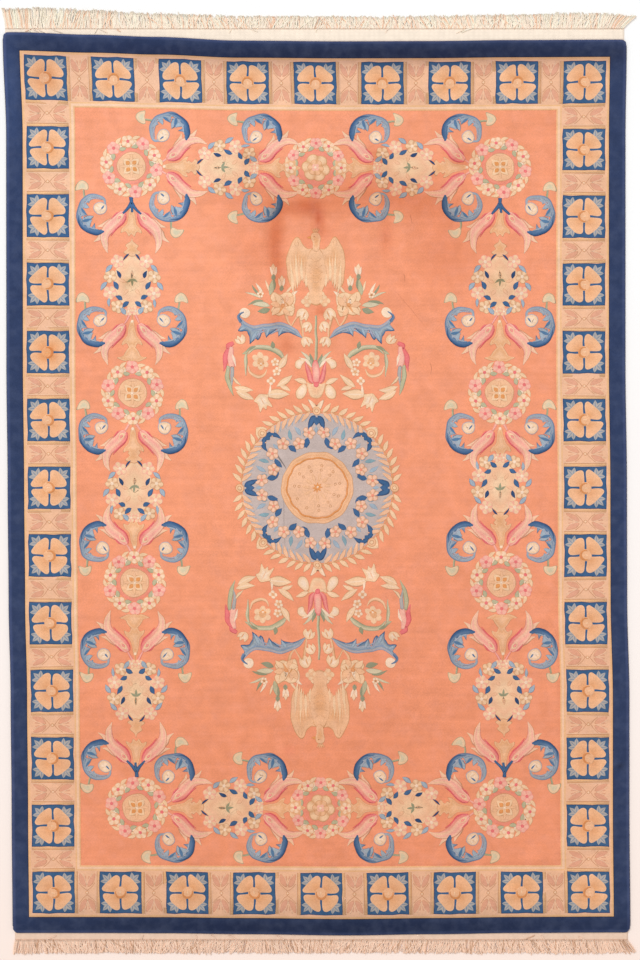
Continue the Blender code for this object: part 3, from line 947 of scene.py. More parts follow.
def half_spray():
    """The right half of the flower spray that grows from the medallion to the bird."""
    parts = [acanthus()]
    for row in SPRAY_LEAVES:
        edge = "tan" if "cream" in row["wool"] else "deep sage"
        blade = leaf(
            row["length"], row["width"], row["wool"], edge,
            "pale cream" if "cream" in row["wool"] else row["wool"], bend=row["bend"],
        )
        parts.append(placed(blade, row["x"], row["y"], turn=row["turn"], lift=1))
    for row in SPRAY_BLOOMS:
        bloom = flower(
            row["size"], row["petals"], row["body"], row["seam"], row["eye"], eye_share=0.36, notch=0.3
        )
        parts.append(placed(bloom, row["x"], row["y"], lift=2))
    for row in SPRAY_BELLS:
        parts.append(
            placed(bell_flower(), row["x"], row["y"], turn=row["turn"] - 180, size=row["size"], lift=2)
        )
    stem_rows = ((-1, 0.15, "deep sage"), (-0.3, 0.35, "sage"), (0.4, 0.35, "pale sage"), (1, 0.15, "sage"))
    spiral = [
        (31.0, 128.0), (37.0, 135.0), (48.0, 140.2), (60.0, 140.0), (67.6, 133.5), (69.4, 123.0),
        (65.0, 113.6), (55.5, 111.0), (48.0, 115.0),
    ]
    parts += [
        curl(spiral[:5], (1.2, 2.8, 2.4, 2.2, 0.4), stem_rows, steps=24),
        curl([(68.6, 137.4), (70.4, 126.0), (70.0, 111.4)], (0.8, 1.9, 0.3), stem_rows, steps=14),
        placed(leaf(9.0, 3.2, "sage", "deep sage", bend=-0.6), 66.0, 138.6, turn=-32, lift=1),
    ]
    tail = [(68.2, 122.0), (65.6, 115.0), (58.0, 111.2), (52.4, 113.2), (49.4, 119.0)]
    tail_rows = ((-1, 0.15, "gold shade"), (-0.3, 0.35, "peach"), (0.4, 0.35, "cream"), (1, 0.15, "honey"))
    parts.append(curl(tail, (0.5, 1.5, 1.8, 1.4, 0.3), tail_rows, steps=22))
    gold_rows = ((-1, 0.15, "gold shade"), (0, 0.3, "honey light"), (1, 0.15, "peach"))
    parts += [
        curl(
            [(12.6, 149.0), (13.6, 160.0), (17.0, 172.0), (24.6, 160.5)], (1.0, 1.4, 1.4, 0.6), gold_rows,
            steps=18,
        ),
        curl([(24.0, 161.0), (28.6, 168.0), (31.0, 176.0)], (0.8, 1.4, 1.8), gold_rows, steps=12),
        placed(peony(), 33.4, 183.6, lift=2), placed(bud(1.15), 42.6, 214.5, lift=2),
        placed(bud(1.1), 34.2, 203.5, lift=2),
    ]
    for points, widths, wools in (
        (
            ((87.0, 140.0), (90.6, 132.0), (90.8, 125.0), (92.4, 116.0)), (1.6, 2.6, 2.4, 0.3),
            ("red pink", "deep pink"),
        ),
        (((84.6, 141.0), (85.4, 132.0), (84.6, 121.0)), (2.2, 3.4, 3.0), ("pink", "light pink")),
        (((82.0, 145.0), (86.6, 142.0), (87.6, 138.4)), (1.6, 3.0, 1.4), ("red pink", "deep pink")),
        (((84.0, 134.0), (82.0, 129.0), (80.6, 121.6)), (0.6, 1.8, 0.2), ("light pink", "pale cream")),
        (
            ((88.0, 122.0), (88.4, 111.0), (86.0, 101.6), (82.8, 92.0)), (1.6, 2.4, 2.2, 0.2),
            ("deep sage", "sage"),
        ),
        (((84.4, 122.0), (83.6, 112.0), (84.4, 102.0)), (1.8, 1.8, 0.4), ("slate", "warm grey")),
        (((82.6, 111.0), (79.6, 106.6), (74.8, 102.6)), (0.8, 1.6, 0.2), ("deep sage", "cream")),
    ):
        rows = ridge(*wools, height=0.35, at=0.5)
        parts.append(curl(points, widths, rows, steps=14, lift=1))
    parts += [
        placed(bell_flower(), 75.6, 148.6, turn=150, size=0.85, lift=2),
        placed(tulip(), 53.6, 86.4, turn=158, size=1.0, lift=3),
    ]
    return merged(parts)


def tulip():
    """A cream tulip with three pointed petals, open along +Y."""
    outline = [(0, 9), (2.4, 5.4), (6.8, 9.6), (6.0, 0), (8.4, -3.4), (4.2, -6.6), (0, -8.6)]
    rings = [(0.3, 0.45, "pale cream"), (0.75, 0.4, "cream"), (0.92, 0.25, "cream"), (0.98, 0.1, "tan")]
    return merged(
        [
            mirrored_blob(outline, 36, rings, centre=(0, -1)),
            placed(leaf(9.0, 1.2, "peach", "honey", "peach", steps=7), 0, -5.0, turn=90, lift=1),
        ]
    )


def spray_axis():
    """What stands on the axis of a spray: a green stem, a pink tulip and its curled cream petals."""
    parts = [
        curl(
            ((0, 124), (0.3, 146), (0, 172)), (1.5, 1.3, 1.0),
            ((-1, 0.15, "deep sage"), (0.1, 0.35, "sage"), (1, 0.15, "pale sage")), steps=16,
        )
    ]
    heart = [(0, 128), (3.0, 124), (4.0, 114), (3.0, 106), (0, 103.6)]
    parts.append(
        mirrored_blob(
            heart, 26, [(0.3, 0.5, "light pink"), (0.8, 0.45, "pink"), (0.97, 0.1, "deep pink")], lift=3
        )
    )
    petal = [(3.0, 104.4), (6.0, 109.0), (8.0, 118.0), (10.6, 127.0)]
    petal_rows = ((-1, 0.1, "deep pink"), (0, 0.4, "pink"), (1, 0.1, "red pink"))
    folds = (
        (24, [(10.0, 128.0), (15.0, 129.6), (20.4, 126.4), (20.6, 120.4), (15.6, 118.6), (13.4, 123.4)]),
        (26, [(9.0, 102.0), (13.0, 104.0), (20.0, 97.0), (19.4, 89.6), (13.4, 88.8), (9.4, 94.0)]),
    )
    cream = [(0.3, 0.4, "pale cream"), (0.85, 0.35, "cream"), (0.97, 0.1, "tan")]
    for side in (-1, 1):
        mirror = np.array([side, 1])
        parts.append(curl(petal * mirror, (1.0, 2.6, 2.2, 0.2), petal_rows, steps=16, lift=2))
        parts += [cushion(points * mirror, count, cream, lift=1) for count, points in folds]
    cup = [(0, 105), (5.6, 104), (9.6, 105.6), (8.0, 96), (5.0, 90.4), (0, 89.4)]
    parts += [
        mirrored_blob(
            cup, 28, [(0.3, 0.45, "honey light"), (0.8, 0.4, "cream"), (0.97, 0.1, "honey")], lift=2
        ),
        placed(disc(2.6, "deep pink", "red pink", count=14), 0, 103.2, lift=4),
    ]
    crown = [(0, 82.0), (3.4, 86.0), (8.4, 88.6), (6.0, 82.0), (3.4, 77.4), (0, 76.4)]
    parts.append(
        mirrored_blob(
            crown, 26, [(0.3, 0.45, "cream"), (0.8, 0.4, "pale cream"), (0.97, 0.1, "tan")], lift=2
        )
    )
    return merged(parts)


def bird():
    """A plain bird of no kind in particular, seen from the front with its wings raised."""
    fill = [
        (0.3, 0.5, "honey"), (0.7, 0.45, "honey light"), (0.93, 0.3, "honey light"),
        (0.99, 0.1, "gold shade"),
    ]
    body = [(0, 240), (4.6, 239), (8.6, 230), (10.5, 216), (9.0, 203), (6.6, 196), (7.0, 186), (0, 182)]
    parts = [mirrored_blob(body, 40, fill, lift=2)]
    plumes = (
        (8.0, 222, 22), (10.8, 228, 24), (13.6, 232, 26), (16.6, 236, 34), (19.6, 238, 39), (22.6, 236, 40),
        (25.4, 230, 37),
    )
    for side in (-1, 1):
        wing = [
            (2.5, 238), (8, 239), (13.0, 243), (16.4, 250), (20.4, 251), (25.4, 243), (29.4, 230),
            (29.0, 214), (26.0, 202),
        ]
        wing += [(21.4, 200), (16.0, 206), (10.0, 210), (5.0, 216)]
        wing = np.array(wing) * [side, 1]
        parts.append(cushion(wing, 52, fill, centre=(side * 17.0, 224), lift=1))
        for k, (x, y, length) in enumerate(plumes):
            wool = "honey light" if k % 2 else "cream"
            plume = leaf(length, 3.8, wool, "gold shade", bend=0.7 * side, steps=7, full=1.5)
            parts.append(placed(plume, side * x, y, turn=-90 + side * (4 - 1.6 * k), lift=2))
        parts += [
            placed(
                leaf(13, 4.6, "honey light", "gold shade", bend=side * 0.8), side * 2.6, 192,
                turn=-90 + side * 22, lift=1,
            ),
            placed(
                leaf(8, 3.6, "cream", "gold shade", bend=side * 0.6), side * 3.6, 196, turn=-90 + side * 50,
                lift=1,
            ),
            placed(leaf(9, 4.0, "honey light", "gold shade"), side * 19.4, 240.0, turn=90, lift=2),
        ]
    head = [(0, 256), (3.6, 254.6), (5.0, 250), (3.6, 245), (3.4, 239), (0, 236)]
    parts += [
        mirrored_blob(head, 24, fill, lift=3),
        placed(leaf(7.0, 2.8, "orange", "amber", steps=6), -2.2, 250.6, turn=188, lift=3),
        placed(disc(0.7, "tan", "tan", count=8), -1.4, 251.6, lift=5),
    ]
    for lean in (-34, -12, 12, 34):
        parts.append(
            placed(leaf(7.0, 2.0, "honey", "gold shade", steps=5), 0, 254.0, turn=90 + lean, lift=2)
        )
    for y, width in ((228, 10.0), (221, 13.0), (214, 13.0), (207, 11.0)):
        scale = curve_through([(-width / 2, y + 2), (0, y - 1.4), (width / 2, y + 2)], 10)
        parts.append(ribbon(scale, 0.45, 0.45, flat("honey", "honey light"), lift=4))
    return merged(parts)


def medallion():
    """The round medallion: a laurel ring, a mauve ground with blue wings and blooms, a carved rosette."""
    shares = (0.12, 0.24, 0.36, 0.48, 0.6, 0.7, 0.8, 0.9, 0.99)
    parts = [blob(circle(75.4, 96), [(share, 0.3, "mauve") for share in shares])]
    parts.append(
        ribbon(
            closed(circle(76.4, 128)), 0.6, 0.6,
            ((-1, 0.1, "gold shade"), (0, 0.35, "honey"), (1, 0.1, "gold shade")), lift=1,
        )
    )
    for octant in range(8):
        start = 90 * (octant // 2)
        way = 1 if octant % 2 == 0 else -1
        for k in range(7):
            angle = start + way * (4.6 + 5.9 * k)
            x, y = polar(76.2, angle)
            outer = leaf(12.2, 5.0, "cream", "gold shade", bend=0.6 * way, steps=6)
            parts.append(placed(outer, x, y, turn=angle + way * (90 - 50), lift=2))
            if k == 6:
                continue
            inner = leaf(13.6, 4.4, "peach", "gold shade", bend=-0.6 * way, steps=6)
            parts.append(placed(inner, x, y, turn=angle + way * (90 + 46), lift=2))
            shade = leaf(11.6, 2.2, "light blue", "lilac", bend=-0.6 * way, steps=5)
            parts.append(placed(shade, x, y, turn=angle + way * (90 + 60), lift=1))
    wing_rows = ridge("deep blue", "blue")
    for k in range(8):
        spoke = []
        broad = 1.0 if k % 2 == 0 else 0.85
        for side in (-1, 1):
            if k % 2 == 0:
                wing = [(side * 0.6, 70.4), (side * 3.6, 69.0), (side * 6.0, 64.0), (side * 8.4, 57.8)]
            else:
                wing = [(side * 0.4, 72.0), (side * 4.8, 70.6), (side * 8.2, 66.4), (side * 9.4, 60.4)]
            spoke += [
                curl(wing, (2.2 * broad, 3.0 * broad, 2.6 * broad, 0.2), wing_rows, steps=12, lift=2),
                placed(
                    flower(6.6, 5, "blush", "tan", "salmon", eye_share=0.22, turn=90 + 20 * side),
                    side * 7.4, 55.4, lift=2,
                ),
            ]
            blade = leaf(10.6, 5.6, "blue", "deep blue", bend=0.6 * side)
            spoke.append(placed(blade, side * 9.0, 50.0, turn=-90 + side * 8, lift=3))
            for angle, radius, turn, length in ((17.0, 54.0, 34, 11.5), (31.0, 51.5, 64, 9.5)):
                x, y = side * radius * math.sin(math.radians(angle)), radius * math.cos(math.radians(angle))
                pale = leaf(length, 4.2, "teal" if k % 2 else "light blue", "mid blue", bend=0.6 * side)
                spoke.append(placed(pale, x, y, turn=90 - side * turn, lift=1))
        length, width, foot = (8.4, 6.6, 70.8) if k % 2 == 0 else (5.8, 5.6, 72.8)
        spoke += [
            placed(leaf(length, width, "blue", "deep blue"), 0, foot, turn=-90, lift=2),
            placed(leaf(7.0, 3.4, "light blue", "mid blue"), 0, 55.0, turn=90, lift=1),
        ]
        rim = merged(
            [disc(4.4, "honey light", "gold shade", count=18), disc(2.2, "cream", "tan", count=12, lift=1)]
        )
        spoke.append(placed(rim, 0, 77.2, lift=3))
        parts.append(placed(merged(spoke), 0, 0, turn=45 * k))
        between = math.radians(45 * k + 22.5)
        x, y = 47.6 * math.cos(between), 47.6 * math.sin(between)
        bloom = flower(6.4, 5, "blush", "tan", "salmon", eye_share=0.22, turn=50 * k)
        parts.append(placed(bloom, x, y, lift=3))
        dark = leaf(7.0, 3.8, "blue", "deep blue", bend=0.8)
        parts.append(placed(dark, 0.95 * x, 0.95 * y, turn=45 * k + 22.5 + (125 if k % 2 else 235), lift=2))
    parts += rosette()
    return merged(parts)


def rosette():
    """The carved disc in the middle: a honey ring, a wavy amber line, a peach ground with tiny rings."""
    angle = round_angles(168)
    facets = 36.2 * (1 - 0.006 * np.cos(12 * angle))
    ring = facets[:, None] * spokes(angle)
    rings = [
        (0.3, 0.3, "honey light"), (0.86, 0.35, "honey light"), (0.9, 0.3, "honey"),
        (0.97, 0.3, "honey light"), (0.995, 0.1, "gold shade"),
    ]
    parts = [blob(ring, rings, lift=2)]
    wave = 29.6 + 0.9 * np.abs(np.sin(7 * angle + 0.5)) + 0.25 * np.sin(3 * angle)
    wavy = wave[:, None] * spokes(angle)
    parts += [
        ribbon(
            closed(wavy), 0.85, 0.85, ((-1, 0.1, "amber"), (0, 0.3, "orange"), (1, 0.1, "amber")), lift=4
        ),
        blob(wavy * 0.985, [(0.2, 0.4, "peach"), (0.9, 0.35, "peach"), (0.99, 0.1, "peach")], lift=3),
    ]
    for k in range(11):
        turn = 360 / 11 * k + 12
        for radius in (18.0, 22.6):
            x, y = polar(radius, turn)
            parts.append(
                ribbon(
                    closed(circle(1.15, 12)) + [x, y], 0.26, 0.26, flat("tan", "gold shade", height=0.15),
                    lift=4,
                )
            )
        fold = placed(leaf(9.0, 3.0, "honey light", "gold shade", "peach", steps=7), 6.4, 0)
        parts.append(placed(fold, 0, 0, turn=turn, lift=4))
    for k in range(8):
        parts.append(
            placed(
                placed(leaf(4.6, 1.9, "orange", "amber", "orange", steps=6), 0.6, 0), 0, 0, turn=45 * k,
                lift=5,
            )
        )
    parts.append(placed(disc(1.0, "pale cream", "pale cream", count=10), 0.2, 0.6, lift=6))
    return parts


# How far each lock of fringe leans by its tip, in metres, the same as in the CAD model.
TIP_LEAN = table(
    "across far near",
    [
        (-1.25, -0.0170, -0.010), (-1.16, -0.010, +0.008), (-1.00, +0.014, +0.012), (-0.72, -0.010, +0.010),
        (-0.40, -0.014, -0.012), (-0.10, +0.010, +0.010), (+0.20, -0.012, -0.012), (+0.55, -0.012, -0.010),
        (+0.85, -0.008, +0.012), (+1.12, +0.014, +0.008), (+1.25, +0.0545, +0.036),
    ],
)
# The two fringes: where the web ends and the usual length of the warp ends, in metres, the cotton's tint, and
# what multiplies it again for the darker strands and for the web.
FRINGES = table(
    "end way web_edge length seed tint stroke web",
    [
        ("far", +1, 1.8415, 0.0490, 5, (1.06, 0.98, 0.98), 0.80, 1.07),
        ("near", -1, 1.8395, 0.0510, 9, (0.86, 0.74, 0.68), 0.66, 1.0),
    ],
)
# How much longer the warp ends are left at places along each end, in metres.
FRINGE_REACH = table(
    "across far near",
    [
        (-1.25, +0.030, +0.001), (-1.05, +0.031, +0.001), (-0.90, +0.022, +0.000), (-0.60, +0.009, +0.001),
        (-0.25, -0.001, +0.000), (+0.30, -0.002, +0.000), (+0.70, +0.004, +0.001), (+1.10, +0.012, +0.002),
        (+1.25, +0.009, +0.002),
    ],
)
# The web's mesh: its columns and its gap to the pile, in metres.
WEB_COLUMNS = 260
WEB_GAP = PIECE_GAP + 0.0006
STITCHES = 236
# Warp ends at each end of the rug, and the mesh of each one. Radius and pitch in metres.
STRANDS = 1300
STRAND_RADIUS = 0.0021
STRAND_STEPS = 6
STRAND_SIDES = 5
TWIST_PITCH = 0.006

# Uneven dye, rubbed pile and old spots, with painted light among them. The broad lighter, bluer patch
# towards the far left corner, the broad darker, warmer one at the near end and the two faint ones in the
# field are partly uneven dye and partly painted light and shade. The bright streak on the left border near
# the far end is a painted highlight of the pile's sheen, and the darker bands along the far border are
# painted shade of that sheen. Places and reaches in knots, tints multiply the wool's colour.
WEAR_AND_PAINTED_LIGHT = table(
    "x y across along turn tint",
    [
        (0, -432, 520, 34, 0, (0.90, 0.93, 0.94)), (90, 434, 300, 11, 0, (0.46, 0.42, 0.46)),
        (-160, 434, 120, 7, 0, (0.80, 0.78, 0.82)), (0, -441, 400, 10, 0, (0.46, 0.48, 0.56)),
        (-303, 400, 8, 60, 0, (1.35, 1.38, 1.36)), (-271, 411, 18, 18, 0, (0.86, 0.80, 0.76)),
        (-160, 300, 150, 150, 0, (1.07, 1.14, 1.20)), (-120, 60, 110, 200, 0, (1.02, 1.03, 1.03)),
        (0, -330, 420, 190, 0, (0.90, 0.84, 0.80)), (120, -120, 170, 150, 0, (0.97, 0.95, 0.95)),
        (20, 292, 90, 22, 4, (0.86, 0.74, 0.66)), (100, 286, 60, 18, -8, (0.88, 0.78, 0.72)),
        (-60, 300, 40, 20, 10, (0.90, 0.82, 0.76)), (130, 240, 40, 40, 0, (0.92, 0.84, 0.80)),
        (-39, 222, 7, 34, 8, (0.80, 0.62, 0.52)), (-39, 258, 8, 20, 0, (0.80, 0.62, 0.52)),
        (-34, 279, 16, 7, 0, (0.88, 0.76, 0.70)), (-8, 281, 14, 9, 0, (0.80, 0.60, 0.50)),
        (3, 270, 5, 10, 10, (0.70, 0.46, 0.38)), (3, 255, 12, 7, 0, (0.88, 0.76, 0.70)),
        (70, 252, 6, 16, 0, (0.88, 0.76, 0.70)), (62, 330, 9, 14, 0, (0.86, 0.74, 0.66)),
        (-66, 330, 10, 12, 0, (0.84, 0.72, 0.64)), (148, 330, 14, 12, 0, (0.86, 0.74, 0.68)),
        (-40, 172, 6, 16, 4, (0.88, 0.76, 0.70)), (-30, 142, 8, 10, 0, (0.86, 0.74, 0.68)),
        (-60, 240, 26, 26, 0, (0.93, 0.86, 0.82)), (-186, 206, 7, 5, 20, (0.80, 0.66, 0.52)),
        (183, 206, 6, 6, 0, (0.82, 0.68, 0.55)), (-268, 135, 10, 9, 0, (0.90, 0.72, 0.54)),
        (5, 177, 5, 4, 0, (0.78, 0.56, 0.46)), (-31, -263, 6, 4, 0, (0.98, 0.88, 0.88)),
        (300, -279, 4, 3, 0, (0.45, 0.45, 0.5)),
    ],
)
# Lines where the pile was folded or brushed the other way, darkened in colour: painted shade of the folds.
# Places in knots, width in knots.
PAINTED_CREASE_SHADE = table(
    "start end width tint",
    [
        ((-44, 39), (-31, 19), 1.6, 0.45), ((-35, 14), (-33, -67), 0.7, 0.82),
        ((114, 126), (115, 113), 0.7, 0.72), ((88, 215), (89, 206), 0.7, 0.72),
        ((94, 275), (96, 264), 0.7, 0.76), ((78, 198), (112, 158), 0.8, 0.90),
    ],
)


def end_slip(y):
    """How far the pattern is pulled in from the far end, in knots: fully at the border there, and fading
    smoothly to nothing at the pile's end and in the field."""
    share = np.clip((HALF_ALONG - y) / SLIP_FADE, 0, 1) * np.clip((y - SLIP_START) / SLIP_GROWTH, 0, 1)
    return -END_SLIP * share * share * (3 - 2 * share)


def hand_drawn(xy):
    """The weaver's uneven hand: both coordinates wander by a sum of two slow sine waves, in knots."""
    x, y = xy[:, 0], xy[:, 1]
    across = 0.30 * np.sin(y / 5.3 + x / 31.0) + 0.22 * np.sin(y / 2.6 - x / 7.9 + 1.3)
    along = 0.30 * np.sin(x / 4.9 - y / 27.0 + 0.6) + 0.22 * np.sin(x / 2.9 + y / 8.3)
    return xy + np.stack([across, along + end_slip(y)], axis=1)


def unevenness(xy):
    """Height in millimetres of the pile's faint waves: a sum of four sine waves, level at the edge."""
    x, y = xy[:, 0], xy[:, 1]
    slow = 0.20 * np.sin(x / 23.0 + y / 61.0) + 0.20 * np.sin(y / 19.0 - x / 47.0 + 2.0)
    quick = 0.10 * np.sin(x / 9.1 + y / 12.7 + 0.5) + 0.10 * np.sin(y / 7.7 - x / 14.3)
    inset = np.minimum(HALF_ACROSS - np.abs(x), HALF_ALONG - np.abs(y))
    return (slow + quick) * np.clip(inset / 8.0, 0, 1)


def worn_and_painted_light(xy):
    """What multiplies the dye at each place, for wear, spots and painted light and shade:
    1 + (tint - 1) exp(-d^2), d the distance in reaches.
    """
    factor = np.ones((len(xy), 3))
    for row in WEAR_AND_PAINTED_LIGHT:
        angle = math.radians(row["turn"])
        along = xy - [row["x"], row["y"]]
        u = (along[:, 0] * math.cos(angle) + along[:, 1] * math.sin(angle)) / row["across"]
        v = (along[:, 1] * math.cos(angle) - along[:, 0] * math.sin(angle)) / row["along"]
        share = np.exp(-(u * u + v * v))[:, None]
        factor *= 1 + share * (np.array(row["tint"]) - 1)
    return factor


def rows_of(*arrays):
    """The insets of the ground's grid lines, ascending, without near doubles."""
    places = np.sort(np.concatenate([np.atleast_1d(array) for array in arrays]))
    return places[np.concatenate([[True], np.diff(places) > LINE_MERGE])]


def ground_lines(half):
    """Places of the ground's grid lines along one axis, fine at the edge, at each zone and each carving."""
    ends = np.array([zone["to"] for zone in ZONES[1:-1]])
    carved = np.array([[line - CARVED_HALF_WIDTH, line, line + CARVED_HALF_WIDTH] for line in CARVED_LINES])
    edge = np.array([*EDGE_INSETS, 0.0105, CORNER_RADIUS]) / KNOT
    fill = np.concatenate([np.arange(8, 14, 3.0), np.arange(19, 62, 4.3)])
    inset = rows_of(edge, ends - ZONE_BLUR, ends + ZONE_BLUR, carved.ravel(), fill)
    inner = half - inset[-1]
    field = np.linspace(-inner, inner, int(2 * inner / GROUND_STEP) + 2)[1:-1]
    return np.concatenate([inset - half, field, (half - inset)[::-1]])


def ground():
    """The pile's surface z(x, y) on a grid, with its rim carried down to the foundation and closed below.

    The height goes by the depth inside the round-cornered outline, after the section of the pile's edge,
    and each carved line cuts a V. The dye goes by how far in from the edge a point is.
    """
    x, y = np.meshgrid(ground_lines(HALF_ACROSS), ground_lines(HALF_ALONG))
    corner = PILE_CORNER / KNOT
    a = np.clip((np.abs(x) - HALF_ACROSS + corner) / corner, 0, 1)
    b = np.clip((np.abs(y) - HALF_ALONG + corner) / corner, 0, 1)
    bent = (a > 0) & (b > 0)
    flat_x, flat_y = x.copy(), y.copy()
    x = np.where(bent, np.sign(x) * (HALF_ACROSS - corner + corner * a * np.sqrt(1 - b * b / 2)), x)
    y = np.where(bent, np.sign(y) * (HALF_ALONG - corner + corner * b * np.sqrt(1 - a * a / 2)), y)
    away_x, away_y = np.abs(x) - HALF_ACROSS + corner, np.abs(y) - HALF_ALONG + corner
    outside = np.hypot(np.maximum(away_x, 0), np.maximum(away_y, 0))
    depth = corner - outside - np.minimum(np.maximum(away_x, away_y), 0)
    height = np.interp(depth, np.array(EDGE_INSETS) / KNOT, 1000 * (np.array(EDGE_HEIGHTS) - PILE_HEIGHT))
    inset = np.minimum(HALF_ACROSS - np.abs(flat_x), HALF_ALONG - np.abs(flat_y))
    for line in CARVED_LINES:
        height -= CARVED_DEPTH_MM * np.clip(1 - np.abs(inset - line) / CARVED_HALF_WIDTH, 0, 1)
    zone = np.searchsorted([row["to"] for row in ZONES], inset)
    dyes = np.array([DYES[row["wool"]] for row in ZONES])[zone]
    rows, columns = x.shape
    index = np.arange(rows * columns).reshape(rows, columns)
    quads = np.stack([index[:-1, :-1], index[:-1, 1:], index[1:, 1:], index[1:, :-1]], axis=-1)
    rim = np.concatenate([index[0, :-1], index[:-1, -1], index[-1, :0:-1], index[:0:-1, 0]])
    overhang = PILE_OVERHANG / KNOT * np.clip(1 - depth / OVERHANG_FADE, 0, 1)
    x = x + np.sign(x) * overhang * (away_x > away_y)
    lean = np.where(y > 0, FAR_OVERHANG, -NEAR_OVERHANG)
    y = y + lean * overhang * (away_y >= away_x) + end_slip(y)
    points = np.stack([x, y, height], axis=-1).reshape(-1, 3)
    foot = points[rim] - np.sign(points[rim]) * FOOT_INSET / KNOT
    foot[:, 2] = -1000 * PILE_HEIGHT
    below = rows * columns + np.arange(len(rim))
    skirt = np.stack([rim, below, np.roll(below, -1), np.roll(rim, -1)], axis=-1)
    dyes = dyes.reshape(-1, 3)
    return Patch(
        np.concatenate([points, foot]), np.concatenate([quads.reshape(-1, 4), skirt]), [below[::-1]],
        np.concatenate([dyes, dyes[rim]]),
    )


def painted_crease_shade():
    """Painted shade of thin folds in the pile: each a ribbon in the field's or the medallion's own wool,
    darkened.
    """
    parts = []
    for row in PAINTED_CREASE_SHADE:
        path = curve_through(
            [row["start"], np.mean([row["start"], row["end"]], axis=0) + 0.5, row["end"]], 10
        )
        half = row["width"] / 2 * np.sin(np.linspace(0.1, math.pi - 0.1, 10))
        inside = math.hypot(*row["start"]) < MEDALLION_RADIUS
        patch = ribbon(path, half, half, flat("field"))
        # The wool darkened by the row's tint: painted shade of the fold.
        patch.dyes[:] = DYES["mauve" if inside else "field"] * row["tint"]
        parts.append(raised(patch, 2 if inside else 0))
    return merged(parts)


def quarter_turns(x, y, turn):
    """The places and turns of a thing of the left upper quarter in all the quarters that it belongs to."""
    places = {(x, y): turn}
    for side, end in ((1, 1), (-1, 1), (1, -1), (-1, -1)):
        if turn == 90:
            way = 90 if side > 0 else -90
        else:
            way = 0 if end > 0 else 180
        places.setdefault((side * x, end * y), way)
    return [(*place, way) for place, way in places.items()]


def garland_wreaths(kind):
    """All the wreaths of one kind, each turned the way that its part of the garland runs."""
    parts = []
    for row in WREATHS:
        if row["kind"] != kind:
            continue
        in_row = row["y"] > ROW_FROM and row["x"] > COLUMN_TO
        place = "row" if in_row else "corner" if row["y"] > ROW_FROM else "column"
        wreath = rose_wreath(place) if kind == "rose" else blue_wreath()
        for x, y, turn in quarter_turns(row["x"], row["y"], 90 if in_row else 0):
            parts.append(placed(wreath, x, y, turn=180 if y == 0 and x > 0 else turn))
    return merged(parts)


def garland_units():
    """The pink leaves and bells of the whole garland."""
    parts = []
    for row in UNITS:
        art = placed(unit(row["bell"], row["stem"]), 0, -row["shift"])
        for x, y, turn in quarter_turns(row["x"], row["y"], row["turn"]):
            parts.append(placed(art, x, y, turn=turn))
    return merged(parts)


def garland_scrolls():
    """The blue scrolls of the whole garland, a pair a unit. A column's first unit has only its outer one,
    for at each corner the row's inner scroll fills the place, with its bud below it."""
    parts = []
    beside, below = scroll(), scroll("below")
    for row in UNITS:
        for x, y, turn in quarter_turns(row["x"], row["y"], row["turn"]):
            outer = (x < 0) == (y > 0) if row["turn"] == 0 else (x > 0) == (y > 0)
            for flip in (False, True):
                if flip != outer and not row["inner"]:
                    continue
                at_corner = row["turn"] == 90 and row["x"] < COLUMN_TO and flip != outer
                half = placed(placed(below if at_corner else beside, 0, 0, flip=flip), 0, -row["shift"])
                parts.append(placed(half, x, y, turn=turn))
    return merged(parts)


def mirrored_quarters(half, axis):
    """The upper right half of a spray and its axis, mirrored to all four quarters."""
    upper = merged([half, placed(half, 0, 0, flip=True), axis])
    lower = placed(placed(upper, 0, 0, flip=True), 0, 0, turn=180)
    return merged([upper, lower])


def to_metres(patch):
    """A patch's points in metres, in the rug's frame, and its dyes with the wear and the painted light and
    shade on them.
    """
    xy = hand_drawn(patch.points[:, :2]) if len(patch.caps) > 1 else patch.points[:, :2]
    height = patch.points[:, 2] + unevenness(patch.points[:, :2]) * (patch.points[:, 2] > FOOT_TOP_MM)
    points = np.column_stack([lay(xy * KNOT), PILE_HEIGHT + height / 1000])
    return points, patch.dyes * worn_and_painted_light(patch.points[:, :2])


def new_piece(name, points, faces, material, dyes=None, strand=None):
    """A mesh object at the origin from points and faces, with its dye and its strand coordinates."""
    mesh = bpy.data.meshes.new(name)
    mesh.from_pydata(points, [], faces)
    mesh.shade_smooth()
    if dyes is not None:
        colours = np.column_stack([np.clip(dyes, 0, 1), np.ones(len(dyes))]).astype(np.float32)
        mesh.attributes.new("dye", "FLOAT_COLOR", "POINT").data.foreach_set("color", colours.ravel())
    if strand is not None:
        corners = np.empty(len(mesh.loops), np.int32)
        mesh.loops.foreach_get("vertex_index", corners)
        layer = mesh.uv_layers.new(name="strand")
        layer.data.foreach_set("uv", strand[corners].astype(np.float32).ravel())
    mesh.materials.append(material)
    piece = bpy.data.objects.new(name, mesh)
    bpy.context.scene.collection.objects.link(piece)
    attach(piece, "root")
    return piece


def pile_piece(name, patch):
    """A piece of the cut pile from a patch of the design."""
    points, dyes = to_metres(patch)
    faces = patch.quads.tolist() + [cap.tolist() for cap in patch.caps]
    return new_piece(name, points, faces, finish("hand-knotted wool pile", wool_pile), dyes)


def add_node(tree, kind, settings=None, inputs=None):
    """Adds a node with its settings, and sets or links its inputs."""
    node = tree.nodes.new(kind)
    for key, value in (settings or {}).items():
        setattr(node, key, value)
    for key, value in (inputs or {}).items():
        if isinstance(value, bpy.types.NodeSocket):
            tree.links.new(value, node.inputs[key])
        else:
            node.inputs[key].default_value = value
    return node


def finish(name, build, *sizes):
    """The material of that name, made by its function the first time that it is asked for."""
    material = bpy.data.materials.get(name)
    if material is None:
        material = bpy.data.materials.new(name)
        material.use_nodes = True
        build(material.node_tree, material.node_tree.nodes["Principled BSDF"], *sizes)
    return material


